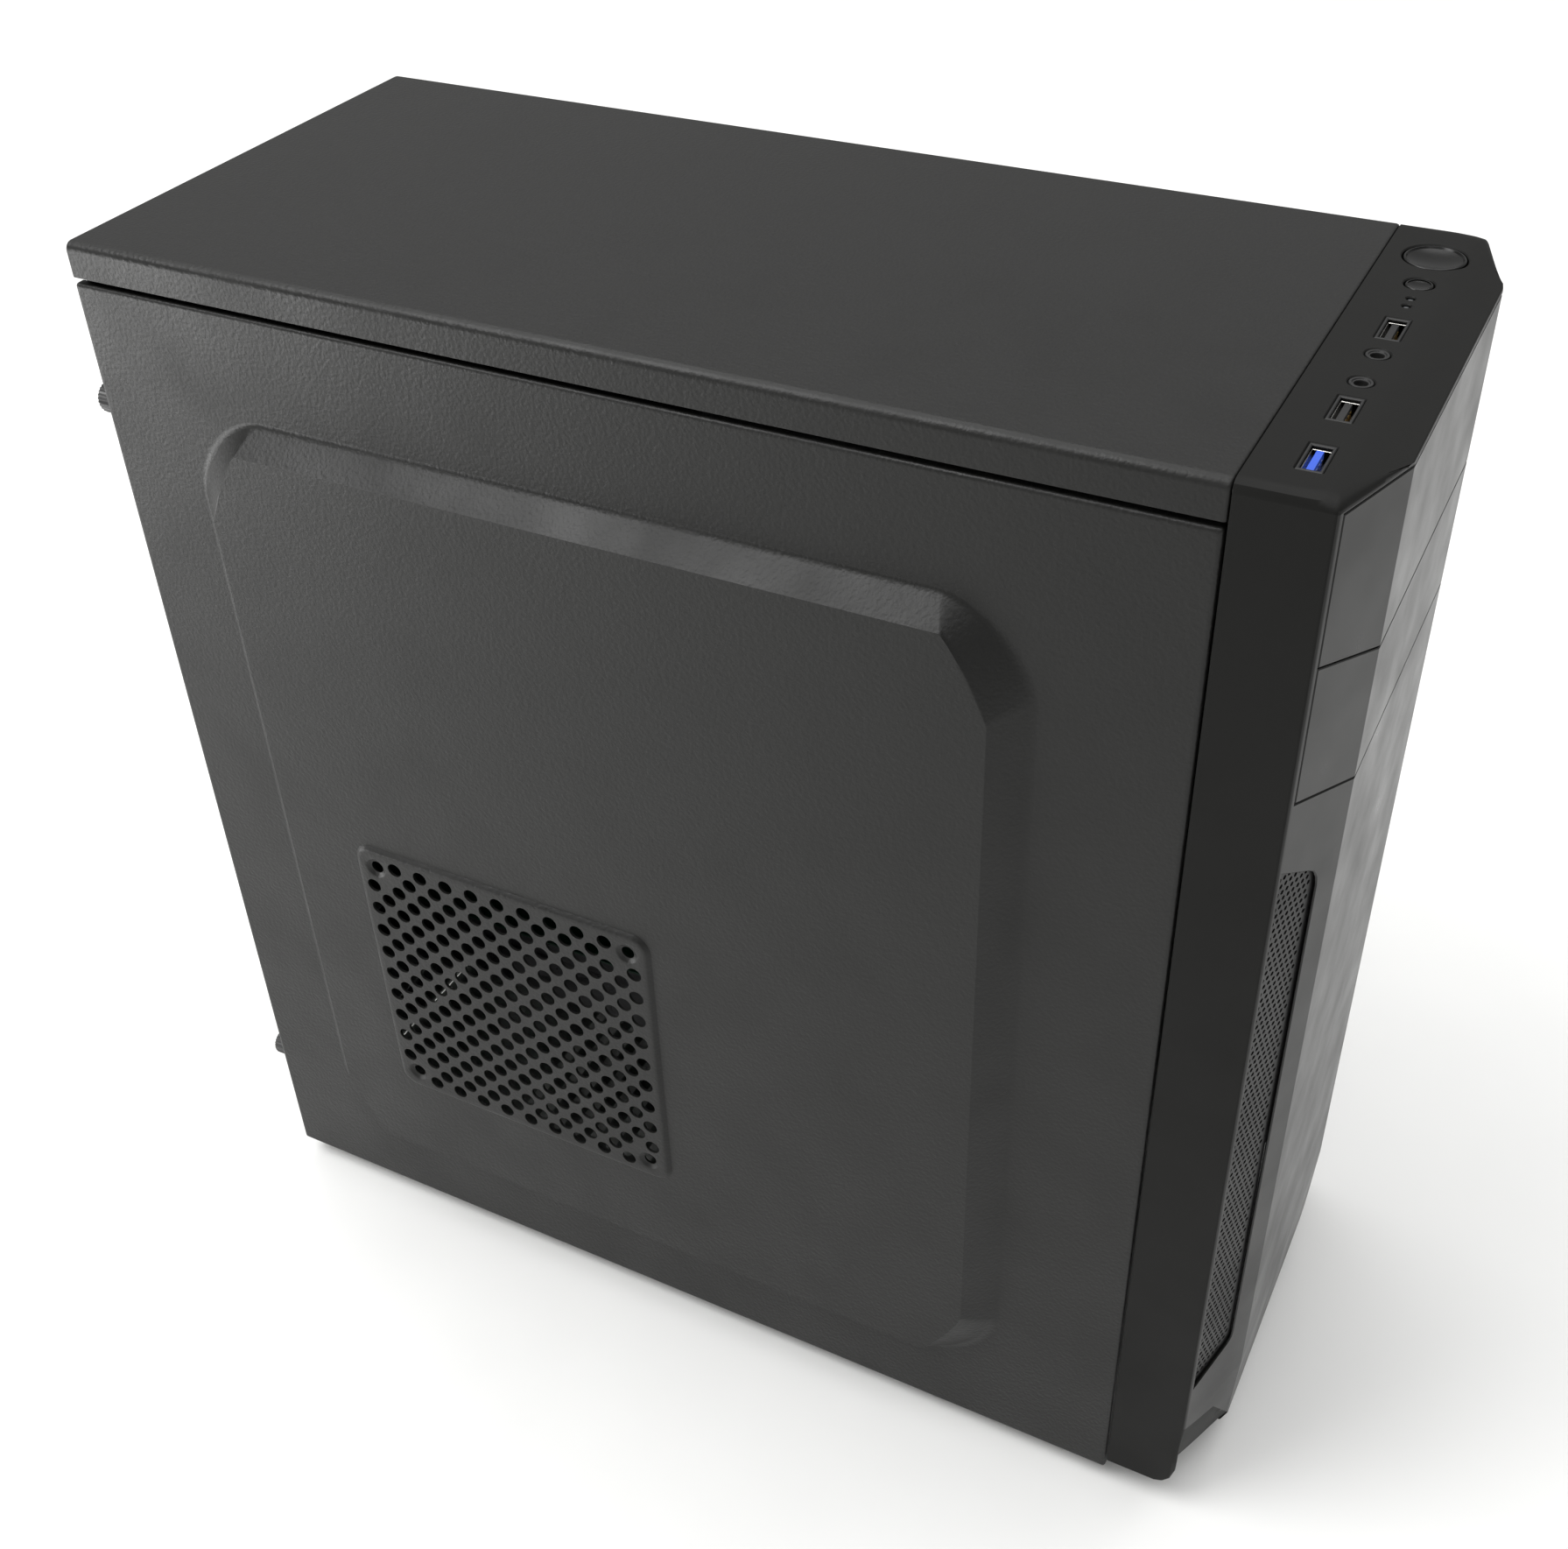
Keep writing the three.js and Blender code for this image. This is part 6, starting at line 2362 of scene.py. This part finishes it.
@dataclass(frozen=True)
class Studio:
    """Pale floor, soft lights and camera."""

    camera_place: tuple[float, float, float] = (-0.48857, -0.26656, 0.64468)
    heading: float = 28.442
    tilt: float = -37.691
    roll: float = -2.151
    lens: float = 43.758
    sensor: float = 36.0
    sky: float = 0.36
    lights: tuple[SoftBox, ...] = (
        SoftBox("ceiling", (0.6, 0.6, 5.0), (0.6, 0.6, 0.0), (8.0, 8.0), 450.0),
        SoftBox("high_left", (-0.95, 1.0, 2.15), (-0.1, 0.0, 0.35), (1.2, 1.2), 26.0),
        SoftBox("low_left", (-0.66, 0.95, 0.22), (-0.09, 0.15, 0.35), (0.7, 0.42), 6.2),
    )

    def floor(self) -> None:
        """Lay the floor."""
        sheet = bmesh.new()
        bmesh.ops.create_grid(sheet, x_segments=1, y_segments=1, size=6)
        mesh = bpy.data.meshes.new("floor")
        sheet.to_mesh(mesh)
        sheet.free()
        mesh.materials.append(
            Finish(
                "pale_floor", (0.78, 0.78, 0.77), 0.6, specular=0.2, grain=3, depth=0.01, mottle=0.01,
            ).material()
        )
        made = bpy.data.objects.new("floor", mesh)
        bpy.context.scene.collection.objects.link(made)

    def camera(self) -> None:
        """Set the camera."""
        data = bpy.data.cameras.new("camera")
        data.sensor_width = self.sensor
        data.lens = self.lens
        data.clip_start = 0.01
        made = bpy.data.objects.new("camera", data)
        made.location = self.camera_place
        heading, tilt = math.radians(self.heading), math.radians(self.tilt)
        ahead = Vector(
            (math.cos(heading) * math.cos(tilt), math.sin(heading) * math.cos(tilt), math.sin(tilt))
        )
        level = ahead.to_track_quat("-Z", "Y").to_matrix()
        made.rotation_euler = (level @ Matrix.Rotation(math.radians(self.roll), 3, "Z")).to_euler()
        bpy.context.scene.collection.objects.link(made)
        bpy.context.scene.camera = made

    def build(self) -> None:
        """Set up the studio."""
        self.floor()
        world = bpy.data.worlds.new("studio_air")
        world.use_nodes = True
        world.node_tree.nodes["Background"].inputs["Color"].default_value = (1, 1, 1, 1)
        world.node_tree.nodes["Background"].inputs["Strength"].default_value = self.sky
        bpy.context.scene.world = world
        bpy.context.scene.view_settings.view_transform = "Standard"
        for light in self.lights:
            light.hang()
        self.camera()


def main() -> None:
    """Build the tower and its studio."""
    logging.basicConfig(level=logging.INFO, format="%(message)s")
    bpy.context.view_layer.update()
    SidePanel(Side.LEFT, Vent()).build()
    SidePanel(Side.RIGHT).build()
    TopCover().build()
    for node in frame["nodes"]:
        if node.startswith("thumbscrew_"):
            Thumbscrew(node).build()
        if node.startswith("foot_"):
            Foot(node).build()
    controls, bezel = TopControls(), Bezel()
    bezel.build_shell(controls.holes())
    bezel.build_covers()
    bezel.build_meshes()
    controls.build()
    Chassis().build()
    for fan in fans():
        fan.build()
    MainBoard().build()
    GraphicsCard().build()
    DiskDrive().build()
    PowerSupply().build()
    Studio().build()


if __name__ == "__main__":
    main()
